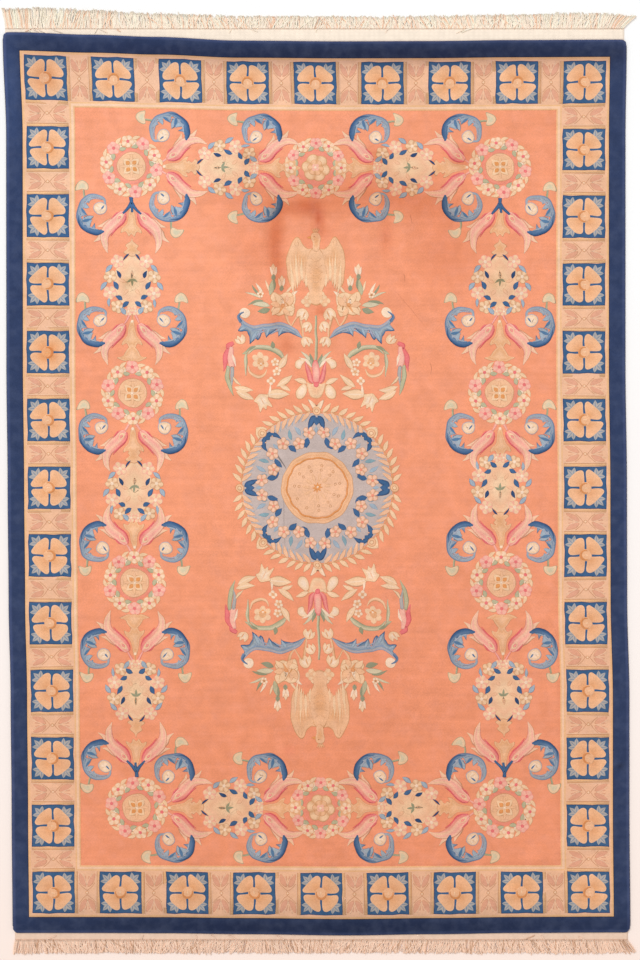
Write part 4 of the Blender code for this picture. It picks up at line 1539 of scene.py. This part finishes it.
def swing(tree, factor, low, high, least=0.3, most=0.7):
    """A value that runs from low to high while the factor goes from least to most."""
    inputs = {"Value": factor, "From Min": least, "From Max": most, "To Min": low, "To Max": high}
    return add_node(tree, "ShaderNodeMapRange", inputs=inputs).outputs["Result"]


def times(tree, factor, *others):
    """Factors multiplied."""
    for other in others:
        product = add_node(tree, "ShaderNodeMath", {"operation": "MULTIPLY"}, {0: factor, 1: other})
        factor = product.outputs[0]
    return factor


def object_place(tree):
    """The place on the object, in metres."""
    return add_node(tree, "ShaderNodeTexCoord").outputs["Object"]


def noise(tree, place, scale, **inputs):
    """A noise's value at a place."""
    inputs = {"Vector": place, "Scale": scale, **inputs}
    return add_node(tree, "ShaderNodeTexNoise", inputs=inputs).outputs[0]


def piece_dye(tree):
    """The dye that the mesh carries."""
    return add_node(tree, "ShaderNodeAttribute", {"attribute_name": "dye"}).outputs["Color"]


def scaled(tree, colour, light):
    """A colour made lighter or darker."""
    inputs = {0: colour, "Scale": light}
    return add_node(tree, "ShaderNodeVectorMath", {"operation": "SCALE"}, inputs).outputs[0]


def dress(tree, shader, colour, bump, values, invert=False):
    """Gives a shader its colour, a bump and plain values by their sockets' names."""
    tree.links.new(colour, shader.inputs["Base Color"])
    if bump:
        relief = add_node(tree, "ShaderNodeBump", {"invert": invert}, bump)
        tree.links.new(relief.outputs[0], shader.inputs["Normal"])
    for name, value in values.items():
        shader.inputs[name].default_value = value


def wool_pile(tree, shader):
    """Hand-knotted wool, cut and carved: matt, faintly velvety, each tuft a little lighter or darker than the
    next, with dye that changes along the rows of knots, and with brushed patches and bluish patches of
    painted sheen."""
    place = object_place(tree)
    dye = piece_dye(tree)
    # A tuft is one knot, 4 mm across, and its fibres are about 1 mm apart where the yarn opens.
    tufts = noise(tree, place, 1 / KNOT, Detail=1.0)
    fibres = noise(tree, place, 1000.0, Detail=1.0)
    # Rows of knots dyed in one batch run across the rug, some 20 mm deep and half a metre wide.
    stretched = add_node(tree, "ShaderNodeMapping", inputs={"Vector": place, "Scale": (2.0, 55.0, 1.0)})
    batches = noise(tree, stretched.outputs[0], 1.0, Detail=3.0)
    # Patches about 60 mm across where the pile leans another way, painted lighter and darker: painted sheen.
    brushed = noise(tree, place, 16.0, Detail=4.0, Distortion=0.6)
    light = times(
        tree, swing(tree, tufts, 0.90, 1.10), swing(tree, fibres, 0.95, 1.05),
        swing(tree, batches, 0.96, 1.04), swing(tree, brushed, 0.94, 1.07),
    )
    # Painted sheen: bluish light is added in patches where the pile leans away and shows the bright sides
    # of its fibres, which is plainest on dark wool.
    bloom = noise(tree, place, 26.0, Detail=6.0, Distortion=0.2)
    painted_sheen = scaled(tree, (0.55, 0.62, 0.85), swing(tree, bloom, 0.0, 0.034, 0.42, 0.74))
    parts = {0: scaled(tree, dye, light), 1: painted_sheen}
    velvet = add_node(tree, "ShaderNodeVectorMath", {"operation": "ADD"}, parts).outputs[0]
    values = {"Roughness": 0.95, "Specular IOR Level": 0.15, "Sheen Weight": 0.12, "Sheen Roughness": 0.5}
    values["Sheen Tint"] = (1.0, 0.86, 0.78, 1.0)
    dress(tree, shader, velvet, {"Height": tufts, "Strength": 0.5, "Distance": 0.0014}, values)


def cotton_foundation(tree, shader):
    """The back of the rug: bare cotton knots in rows, matt and ribbed, with painted shade between the knots.
    """
    place = object_place(tree)
    dye = piece_dye(tree)
    knots = add_node(
        tree, "ShaderNodeTexVoronoi", {"feature": "F1"},
        {"Vector": place, "Scale": 1 / KNOT, "Randomness": 0.35},
    )
    # Each knot is darker towards its edge, down to three quarters: painted shade between the knots.
    light = swing(tree, knots.outputs["Distance"], 1.05, 0.75, 0.1, 0.6)
    mix = {"Factor": 0.55, "A": dye, "B": (*DYES["canvas"], 1.0)}
    canvas = add_node(tree, "ShaderNodeMix", {"data_type": "RGBA"}, mix).outputs["Result"]
    bump = {"Height": knots.outputs["Distance"], "Distance": 0.001}
    values = {"Roughness": 0.95, "Specular IOR Level": 0.15}
    dress(tree, shader, scaled(tree, canvas, light), bump, values, invert=True)


def cotton_strand(tree, shader):
    """Unbleached cotton warp, twisted in two plies: cream, matt, with painted shade where the plies meet."""
    around = add_node(tree, "ShaderNodeUVMap", {"uv_map": "strand"}).outputs[0]
    place = object_place(tree)
    dye = piece_dye(tree)
    # The UV map counts turns round the strand and twists along it, so a diagonal band is one ply.
    plies = add_node(
        tree, "ShaderNodeTexWave", {"wave_type": "BANDS", "bands_direction": "DIAGONAL"},
        {"Vector": around, "Scale": 0.45, "Distortion": 0.6, "Detail": 1.0},
    )
    fuzz = noise(tree, place, 700.0, Detail=2.0)
    # A few parts in a hundred darker where the plies meet: painted shade.
    light = times(
        tree, swing(tree, plies.outputs["Fac"], 0.95, 1.04, 0.0, 1.0), swing(tree, fuzz, 0.95, 1.05)
    )
    bump = {"Height": plies.outputs["Fac"], "Strength": 0.2, "Distance": 0.0003}
    values = {"Roughness": 0.9, "Specular IOR Level": 0.2, "Sheen Weight": 0.1}
    dress(tree, shader, scaled(tree, dye, light), bump, values)


def cotton_web(tree, shader):
    """The plain-woven cotton end of the rug: ribs of weft 2 mm apart across warps 3 mm apart."""
    place = object_place(tree)
    dye = piece_dye(tree)
    bands = []
    for axis, pitch, wander in (("Y", 0.0022, 1.2), ("X", 0.0032, 1.0)):
        wave = {
            "Vector": place, "Scale": 1 / (20 * pitch), "Distortion": wander, "Detail": 1.0,
            "Detail Scale": 2.0,
        }
        settings = {"wave_type": "BANDS", "bands_direction": axis}
        bands.append(add_node(tree, "ShaderNodeTexWave", settings, wave).outputs["Fac"])
    weave = times(tree, *bands)
    soil = noise(tree, place, 30.0, Detail=3.0)
    # The weave's hollows are a few parts in a hundred darker, painted shade; the soil patches are dirt.
    light = times(tree, swing(tree, weave, 0.97, 1.03, 0.0, 1.0), swing(tree, soil, 0.95, 1.04))
    values = {"Roughness": 0.9, "Specular IOR Level": 0.2}
    dress(
        tree, shader, scaled(tree, dye, light), {"Height": weave, "Strength": 0.15, "Distance": 0.0004},
        values,
    )


def overcast_yarn(tree, shader):
    """Navy wool yarn wound over the side cord, turn beside turn, matt, with soft dark seams of painted shade.
    """
    around = add_node(tree, "ShaderNodeUVMap", {"uv_map": "strand"}).outputs[0]
    place = object_place(tree)
    turns = add_node(
        tree, "ShaderNodeTexWave", {"wave_type": "BANDS", "bands_direction": "Y"},
        {"Vector": around, "Scale": 0.5, "Distortion": 0.8, "Detail": 1.0},
    )
    fuzz = noise(tree, place, 500.0, Detail=2.0)
    dye = piece_dye(tree)
    # The seams between turns are painted down to 0.7 of the dye: painted shade.
    light = times(
        tree, swing(tree, turns.outputs["Fac"], 0.7, 1.15, 0.0, 1.0), swing(tree, fuzz, 0.85, 1.15)
    )
    bump = {"Height": turns.outputs["Fac"], "Strength": 0.7, "Distance": 0.001}
    dress(tree, shader, scaled(tree, dye, light), bump, {"Roughness": 0.9, "Sheen Weight": 0.15})


def studio_floor(tree, shader):
    """A matt painted studio floor, white at the far end and warmer towards the near one."""
    place = object_place(tree)
    along = add_node(tree, "ShaderNodeSeparateXYZ", inputs={0: place}).outputs["Y"]
    share = swing(tree, along, 0.0, 1.0, -2.2, 0.9)
    ends = {"Factor": share, "A": (*srgb("#fbe7dc"), 1.0), "B": (*srgb("#ffffff"), 1.0)}
    tone = add_node(tree, "ShaderNodeMix", {"data_type": "RGBA"}, ends).outputs["Result"]
    dress(tree, shader, tone, None, {"Roughness": 0.9, "Specular IOR Level": 0.1})


def tubes(paths, radii, sides):
    """Round strands carried along level paths: P = path + r cos(a) n + r sin(a) z, with n level and square
    to the path. Returns points, faces and the strand coordinates (turns round, metres along)."""
    count, steps = paths.shape[:2]
    tangent = np.gradient(paths, axis=1)
    normal = np.stack([-tangent[..., 1], tangent[..., 0], 0 * tangent[..., 0]], axis=-1)
    normal /= np.maximum(np.linalg.norm(normal, axis=-1, keepdims=True), 1e-9)
    angle = 2 * np.pi * np.arange(sides) / sides
    spoke = np.cos(angle)[:, None] * normal[:, :, None] + np.sin(angle)[:, None] * np.array([0, 0, 1.0])
    points = paths[:, :, None] + radii[..., None, None] * spoke
    index = np.arange(count * steps * sides).reshape(count, steps, sides)
    ahead = np.roll(index, -1, axis=2)
    quads = np.stack([index[:, :-1], index[:, 1:], ahead[:, 1:], ahead[:, :-1]], axis=-1).reshape(-1, 4)
    step = np.linalg.norm(np.diff(paths, axis=1), axis=-1)
    along = np.concatenate([np.zeros((count, 1)), np.cumsum(step, axis=1)], axis=1)
    round_share = np.abs(np.linspace(-1, 1, sides, endpoint=False))
    strand = np.stack(np.broadcast_arrays(round_share, along[..., None]), axis=-1)
    faces = quads[:, ::-1].tolist() + index[:, 0].tolist() + index[:, -1, ::-1].tolist()
    return points.reshape(-1, 3), faces, strand.reshape(-1, 2)


def pile_end(x, way):
    """Where the pile ends at x, in metres."""
    return lay(np.stack([x, np.full(len(x), way * HALF_LENGTH)], axis=1))


def end_web(fringe):
    """The flat-woven band between the pile and its fringe: a slab whose inner edge follows the pile, with
    points inner + t (outer - inner), a little unevenness in its thickness and a painted shadow of the pile
    along its inner edge."""
    way = fringe["way"]
    reach = HALF_WIDTH - WEB_END_INSET
    inner = pile_end(np.linspace(-reach, reach, WEB_COLUMNS), way) + [0, way * WEB_GAP]
    outer = np.stack([inner[:, 0], np.full(WEB_COLUMNS, way * fringe["web_edge"])], axis=1)
    across = np.array([0.0, 0.0, 0.03, 0.2, 0.5, 0.8, 0.95, 1.0, 1.0])
    height = 1000 * np.array([0.0, 0.6, 0.9, 0.95, 0.9, 1.0, 0.8, 0.5, 0.0]) * WEB_THICKNESS
    across, height = (across, height) if way < 0 else (across[::-1], height[::-1])
    xy = inner[:, None] + across[:, None] * (outer - inner)[:, None]
    chance = np.random.default_rng(fringe["seed"])
    z = height / 1000 * (1 + 0.05 * chance.standard_normal(WEB_COLUMNS))[:, None] * (across * 0 + 1)
    z = np.clip(z, 0, WEB_THICKNESS)
    points = np.concatenate([xy, z[..., None]], axis=2)
    # Up to 6% darker next to the pile, fading within a few millimetres: painted shadow of the pile's
    # overhang.
    tone = 1 - 0.06 * np.exp(-across / 0.05)[None, :, None] * np.ones((WEB_COLUMNS, 1, 1))
    patch = shell(points, DYES["warp"] * fringe["tint"] * fringe["web"] * tone)
    faces = patch.quads[:, ::-1].tolist() + [cap[::-1].tolist() for cap in patch.caps]
    cotton = finish("woven cotton web", cotton_web)
    return new_piece("web_" + fringe["end"], patch.points, faces, cotton, patch.dyes)


def cotton_piece(name, points, faces, dyes, strand):
    """A piece of twisted cotton: strands or stitches."""
    cotton = finish("twisted cotton warp", cotton_strand)
    return new_piece(name, points, faces, cotton, dyes, strand)


def end_stitches(fringe):
    """Short tan stitches in a row where the warp ends leave the web, each a small level tube."""
    way = fringe["way"]
    chance = np.random.default_rng(fringe["seed"] + 1)
    count = STITCHES
    reach = HALF_WIDTH - 0.012
    middle = pile_end(np.linspace(-reach, reach, count), way)
    middle[:, 1] = way * (fringe["web_edge"] - 0.0025)
    middle = middle + chance.uniform(-0.0012, 0.0012, (count, 2))
    half = np.stack([chance.uniform(0.0008, 0.0016, count), chance.uniform(-0.0006, 0.0006, count)], axis=1)
    share = np.linspace(-1, 1, 4)[None, :, None]
    xy = middle[:, None] + share * half[:, None]
    z = np.broadcast_to(WEB_THICKNESS + 0.0001 - 0.0008 * np.abs(share), (*xy.shape[:2], 1))
    radii = 0.0006 * (1 - 0.4 * np.abs(share[..., 0])) * np.ones((count, 1))
    points, faces, strand = tubes(np.concatenate([xy, z], axis=2), radii, 5)
    tone = chance.uniform(0.85, 1.4, (count, 1)) * np.ones((1, 20))
    dyes = tone.reshape(-1, 1) * DYES["warp shade"] * fringe["web"] ** 3
    return cotton_piece("stitches_" + fringe["end"], points, faces, dyes, strand)


def fringe_strands(fringe, strands, radius):
    """Loose warp ends in locks of four, in two layers that cross each other.

    Each path is root + way length t along, and lean t^p + bow sin(pi t) + a wriggle across. The lower layer
    rests on the floor and the upper one on the lower. A few short hairs have flicked back over the web.
    """
    way = fringe["way"]
    chance = np.random.default_rng(fringe["seed"])
    reach = HALF_WIDTH - WEB_END_INSET - 0.003
    upper = np.arange(strands) % 2 == 1
    root = np.linspace(-reach, reach, strands) + chance.normal(0, 0.0012, strands)
    root = np.clip(root, -reach, reach)
    shift = pile_end(root, way)[:, 0]
    set_lean = eased(TIP_LEAN, "across", fringe["end"], root)
    lock = np.repeat(chance.normal(0, 0.0045, strands // 8 + 1), 8)[:strands]
    free = np.clip((HALF_WIDTH - 0.06 - np.abs(root)) / 0.05, 0, 1)
    lean = set_lean + free * (lock + chance.normal(0, 0.003, strands))
    lean = lean + free * upper * chance.normal(0, 0.020, strands)
    length = fringe["length"] + eased(FRINGE_REACH, "across", fringe["end"], root)
    length = length * (1 + chance.normal(0, 0.05, strands)) - 0.20 * np.abs(lean)
    flicked = upper & (chance.random(strands) < 0.015) & (free > 0.5)
    length = np.where(flicked, -0.014 - 0.008 * chance.random(strands), length)
    t = np.linspace(0, 1, STRAND_STEPS)
    wriggle = chance.normal(0, 0.0009, (strands, STRAND_STEPS)) * np.sin(np.pi * np.minimum(t * 1.2, 1))
    bow = chance.normal(0, 0.0030, strands)
    x = shift[:, None] + lean[:, None] * t**1.2 + bow[:, None] * np.sin(np.pi * t) + wriggle
    y = way * (fringe["web_edge"] - 0.002 + (length[:, None] + 0.002) * t)
    lift = np.where(upper, 2.6 + 0.5 * (np.arange(strands) % 3), 1.0)[:, None]
    z = radius * (1.0 + (lift - 1.0) * np.sin(np.pi * np.clip(t * 0.62 + 0.16, 0, 1)) ** 0.5)
    thick = radius * (1.05 - 0.2 * t)[None, :] * chance.uniform(0.85, 1.15, (strands, 1))
    thick = thick * np.where(upper, 1.0, 1.45)[:, None]
    z = np.where(flicked[:, None], WEB_THICKNESS + thick, np.maximum(z, thick))
    paths = np.stack([x, np.broadcast_to(y, x.shape), z], axis=-1)
    points, faces, strand = tubes(paths, thick, STRAND_SIDES)
    strand[:, 1] /= TWIST_PITCH
    tone = chance.normal(1.0, 0.04, strands) * np.where(upper, 1.10, 1.12)
    dark = upper & (chance.random(strands) < 0.18)
    tone = np.where(dark, tone * fringe["stroke"], tone)
    # Each strand is up to 4% darker near its root, where it leaves the web: painted shade.
    pale = 1 - 0.04 * np.exp(-t / 0.12)
    tone = (tone[:, None] * pale[None, :])[..., None] * np.ones((1, 1, STRAND_SIDES))
    hue = np.where(dark[:, None], (1.10, 0.94, 0.80), (1.0, 1.0, 1.0))
    hue = np.repeat(hue, STRAND_STEPS * STRAND_SIDES, axis=0)
    dyes = tone.reshape(-1, 1) * hue * DYES["warp"] * fringe["tint"]
    return cotton_piece("strands_" + fringe["end"], points, faces, dyes, strand)


def side_cord(side, turns):
    """An overcast cord beside the pile: a tube whose radius swells a little under each turn of yarn,
    r = R (1 - 0.09 (1 - |sin(pi s / pitch)|))."""
    reach = HALF_LENGTH - CORNER_RADIUS
    count = 2 * turns + 1
    y = np.linspace(-reach, reach, count)
    swell = 1 - 0.09 * (np.arange(count) % 2 == 0)
    swell[[0, -1]] = 0.45
    edge = lay(np.stack([np.full(count, side * HALF_WIDTH), y], axis=1))
    x = edge[:, 0] + side * (PIECE_GAP + SELVEDGE_RADIUS)
    path = np.stack([x, edge[:, 1], np.full(count, SELVEDGE_RADIUS)], axis=1)[None]
    points, faces, strand = tubes(path, (SELVEDGE_RADIUS * swell)[None], 8)
    strand[:, 1] = np.repeat(np.arange(count) / 2, 8)
    name = "side_cord_left" if side < 0 else "side_cord_right"
    dyes = np.tile(DYES["selvedge"], (len(points), 1))
    return new_piece(
        name, points, faces, finish("overcast wool yarn", overcast_yarn), dyes, strand
    )


class RugSizes(bpy.types.PropertyGroup):
    """Sizes of the rug's cotton strands and side cords."""

    strands: bpy.props.IntProperty(
        name="Strands", description="Loose warp ends at each end of the rug", default=STRANDS, min=50,
        max=1500,
    )
    strand_radius: bpy.props.FloatProperty(
        name="Strand radius", description="Radius of one twisted warp end", default=STRAND_RADIUS,
        unit="LENGTH", precision=5,
    )
    cord_turns: bpy.props.IntProperty(
        name="Cord turns", description="Turns of yarn round each side cord", default=600, min=100, max=1200
    )


def wool_property(name, wool):
    """A colour property for one of the main wools."""
    return bpy.props.FloatVectorProperty(
        name=name, description="Dye of the " + name.lower(),
        default=tuple(float(part) for part in DYES[wool]), subtype="COLOR", min=0.0, max=1.0,
    )


class RugWools(bpy.types.PropertyGroup):
    """Dyes of the main wools and of the cotton."""

    field: wool_property("Field", "field")
    navy: wool_property("Guard border", "navy")
    band: wool_property("Tile band", "band")
    tile: wool_property("Tile blue", "tile blue")
    warp: wool_property("Fringe cotton", "warp")


class StageSettings(bpy.types.PropertyGroup):
    """Camera height and light of the studio."""

    camera_height: bpy.props.FloatProperty(
        name="Camera height", description="Height of the camera above the pile", default=7.0, unit="LENGTH"
    )
    soft_light: bpy.props.FloatProperty(
        name="Soft light", description="Strength of the even light", default=0.74
    )
    key_light: bpy.props.FloatProperty(name="Key light", description="Strength of the lamp", default=1.1)


def read_wools(context):
    """Takes the main dyes from the panel's colours."""
    wools = context.scene.rug_wools
    for wool, colour in (
        ("field", wools.field), ("navy", wools.navy), ("band", wools.band), ("tile blue", wools.tile),
        ("warp", wools.warp),
    ):
        DYES[wool] = np.array(colour)


class RUG_OT_ground(bpy.types.Operator):
    """Knotted pile with its borders, carved lines and field"""

    bl_idname = "rug.ground"
    bl_label = "Pile ground"

    def execute(self, context):
        read_wools(context)
        piece = pile_piece("pile_ground", ground())
        piece.data.materials.append(finish("cotton foundation", cotton_foundation))
        piece.data.polygons[len(piece.data.polygons) - 1].material_index = 1
        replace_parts(piece, "rug_pile")
        pile_piece("pile_painted_crease_shade", painted_crease_shade())
        return {"FINISHED"}


class RUG_OT_band(bpy.types.Operator):
    """Tiles and panels of the wide border"""

    bl_idname = "rug.band"
    bl_label = "Tiled band"

    def execute(self, context):
        read_wools(context)
        tiles, panels = band_places()
        square, card = tile(), panel()
        pile_piece("band_tiles", merged([placed(square, x, y, turn=turn) for x, y, turn in tiles]))
        pile_piece("band_panels", merged([placed(card, x, y, turn=turn) for x, y, turn in panels]))
        return {"FINISHED"}


class RUG_OT_garland(bpy.types.Operator):
    """Wreaths, pink leaves, bells and scrolls round the field"""

    bl_idname = "rug.garland"
    bl_label = "Garland"

    def execute(self, context):
        read_wools(context)
        pile_piece("garland_roses", garland_wreaths("rose"))
        pile_piece("garland_blue_wreaths", garland_wreaths("blue"))
        pile_piece("garland_leaves", garland_units())
        pile_piece("garland_scrolls", garland_scrolls())
        return {"FINISHED"}


class RUG_OT_medallion(bpy.types.Operator):
    """Round medallion with its laurel ring"""

    bl_idname = "rug.medallion"
    bl_label = "Medallion"

    def execute(self, context):
        read_wools(context)
        pile_piece("medallion", medallion())
        return {"FINISHED"}


class RUG_OT_sprays(bpy.types.Operator):
    """Flower sprays and birds above and below the medallion"""

    bl_idname = "rug.sprays"
    bl_label = "Flower sprays"

    def execute(self, context):
        read_wools(context)
        pile_piece("flower_sprays", mirrored_quarters(half_spray(), merged([spray_axis(), bird()])))
        return {"FINISHED"}


class RUG_OT_fringes(bpy.types.Operator):
    """Woven end webs, their stitches and the loose warp ends"""

    bl_idname = "rug.fringes"
    bl_label = "Fringes"

    def execute(self, context):
        read_wools(context)
        sizes = context.scene.rug_sizes
        for fringe in FRINGES:
            web = end_web(fringe)
            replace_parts(web, "fringe_" + fringe["end"])
            end_stitches(fringe)
            fringe_strands(fringe, sizes.strands, sizes.strand_radius)
        return {"FINISHED"}


class RUG_OT_side_cords(bpy.types.Operator):
    """Overcast cords along the two long sides"""

    bl_idname = "rug.side_cords"
    bl_label = "Side cords"

    def execute(self, context):
        turns = context.scene.rug_sizes.cord_turns
        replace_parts(side_cord(-1, turns), "selvedge_left")
        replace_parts(side_cord(+1, turns), "selvedge_right")
        return {"FINISHED"}


class RUG_OT_stage(bpy.types.Operator):
    """Pale floor, soft light and the camera straight above"""

    bl_idname = "rug.stage"
    bl_label = "Stage"

    def execute(self, context):
        settings = context.scene.rug_stage
        scene = context.scene
        reach = 90.0  # metres, so that the floor's edge stays out of views from 20 degrees up and more
        mesh = bpy.data.meshes.new("floor")
        corners = [(-reach, -reach, 0), (reach, -reach, 0), (reach, reach, 0), (-reach, reach, 0)]
        mesh.from_pydata(corners, [], [(0, 1, 2, 3)])
        mesh.materials.append(finish("painted floor", studio_floor))
        floor = bpy.data.objects.new("floor", mesh)
        scene.collection.objects.link(floor)

        world = bpy.data.worlds.new("studio")
        world.use_nodes = True
        back = world.node_tree.nodes["Background"]
        back.inputs["Color"].default_value = (1.0, 0.995, 0.99, 1.0)
        back.inputs["Strength"].default_value = settings.soft_light
        scene.world = world

        lamp = bpy.data.lights.new("key", "SUN")
        lamp.energy = settings.key_light
        lamp.angle = math.radians(25)
        key = bpy.data.objects.new("key", lamp)
        key.rotation_euler = (math.radians(38), 0, math.radians(215))
        scene.collection.objects.link(key)

        lens = bpy.data.cameras.new("camera")
        lens.sensor_fit = "VERTICAL"
        lens.sensor_height = 36.0
        frame_height = 960 * KNOT
        lens.lens = 36.0 * settings.camera_height / frame_height
        lens.clip_end = 200.0
        camera = bpy.data.objects.new("camera", lens)
        camera.location = (0.002, 0.018, PILE_HEIGHT + settings.camera_height)
        scene.collection.objects.link(camera)
        scene.camera = camera
        scene.view_settings.view_transform = "Standard"
        return {"FINISHED"}


class RUG_PT_panel(bpy.types.Panel):
    """Lists the rug's pieces and settings"""

    bl_label = "Pile rug"
    bl_space_type = "VIEW_3D"
    bl_region_type = "UI"
    bl_category = "Rug"

    def draw(self, context):
        layout = self.layout
        for settings, names in (
            (context.scene.rug_wools, ("field", "navy", "band", "tile", "warp")),
            (context.scene.rug_sizes, ("strands", "strand_radius", "cord_turns")),
            (context.scene.rug_stage, ("camera_height", "soft_light", "key_light")),
        ):
            box = layout.box()
            for name in names:
                box.prop(settings, name)
        for operator in OPERATORS:
            layout.operator(operator.bl_idname)


OPERATORS = (
    RUG_OT_ground, RUG_OT_band, RUG_OT_garland, RUG_OT_medallion, RUG_OT_sprays, RUG_OT_fringes,
    RUG_OT_side_cords, RUG_OT_stage,
)
GROUPS = (("rug_sizes", RugSizes), ("rug_wools", RugWools), ("rug_stage", StageSettings))


def register():
    """Registers the settings, the operators and the panel."""
    for name, group in GROUPS:
        bpy.utils.register_class(group)
        setattr(bpy.types.Scene, name, bpy.props.PointerProperty(type=group))
    for operator in OPERATORS:
        bpy.utils.register_class(operator)
    bpy.utils.register_class(RUG_PT_panel)


def unregister():
    """Takes them all out again."""
    bpy.utils.unregister_class(RUG_PT_panel)
    for operator in reversed(OPERATORS):
        bpy.utils.unregister_class(operator)
    for name, group in reversed(GROUPS):
        delattr(bpy.types.Scene, name)
        bpy.utils.unregister_class(group)


def main():
    """Builds every piece in order."""
    register()
    bpy.ops.rug.ground()
    bpy.ops.rug.band()
    bpy.ops.rug.garland()
    bpy.ops.rug.medallion()
    bpy.ops.rug.sprays()
    bpy.ops.rug.fringes()
    bpy.ops.rug.side_cords()
    bpy.ops.rug.stage()


if __name__ == "__main__":
    main()
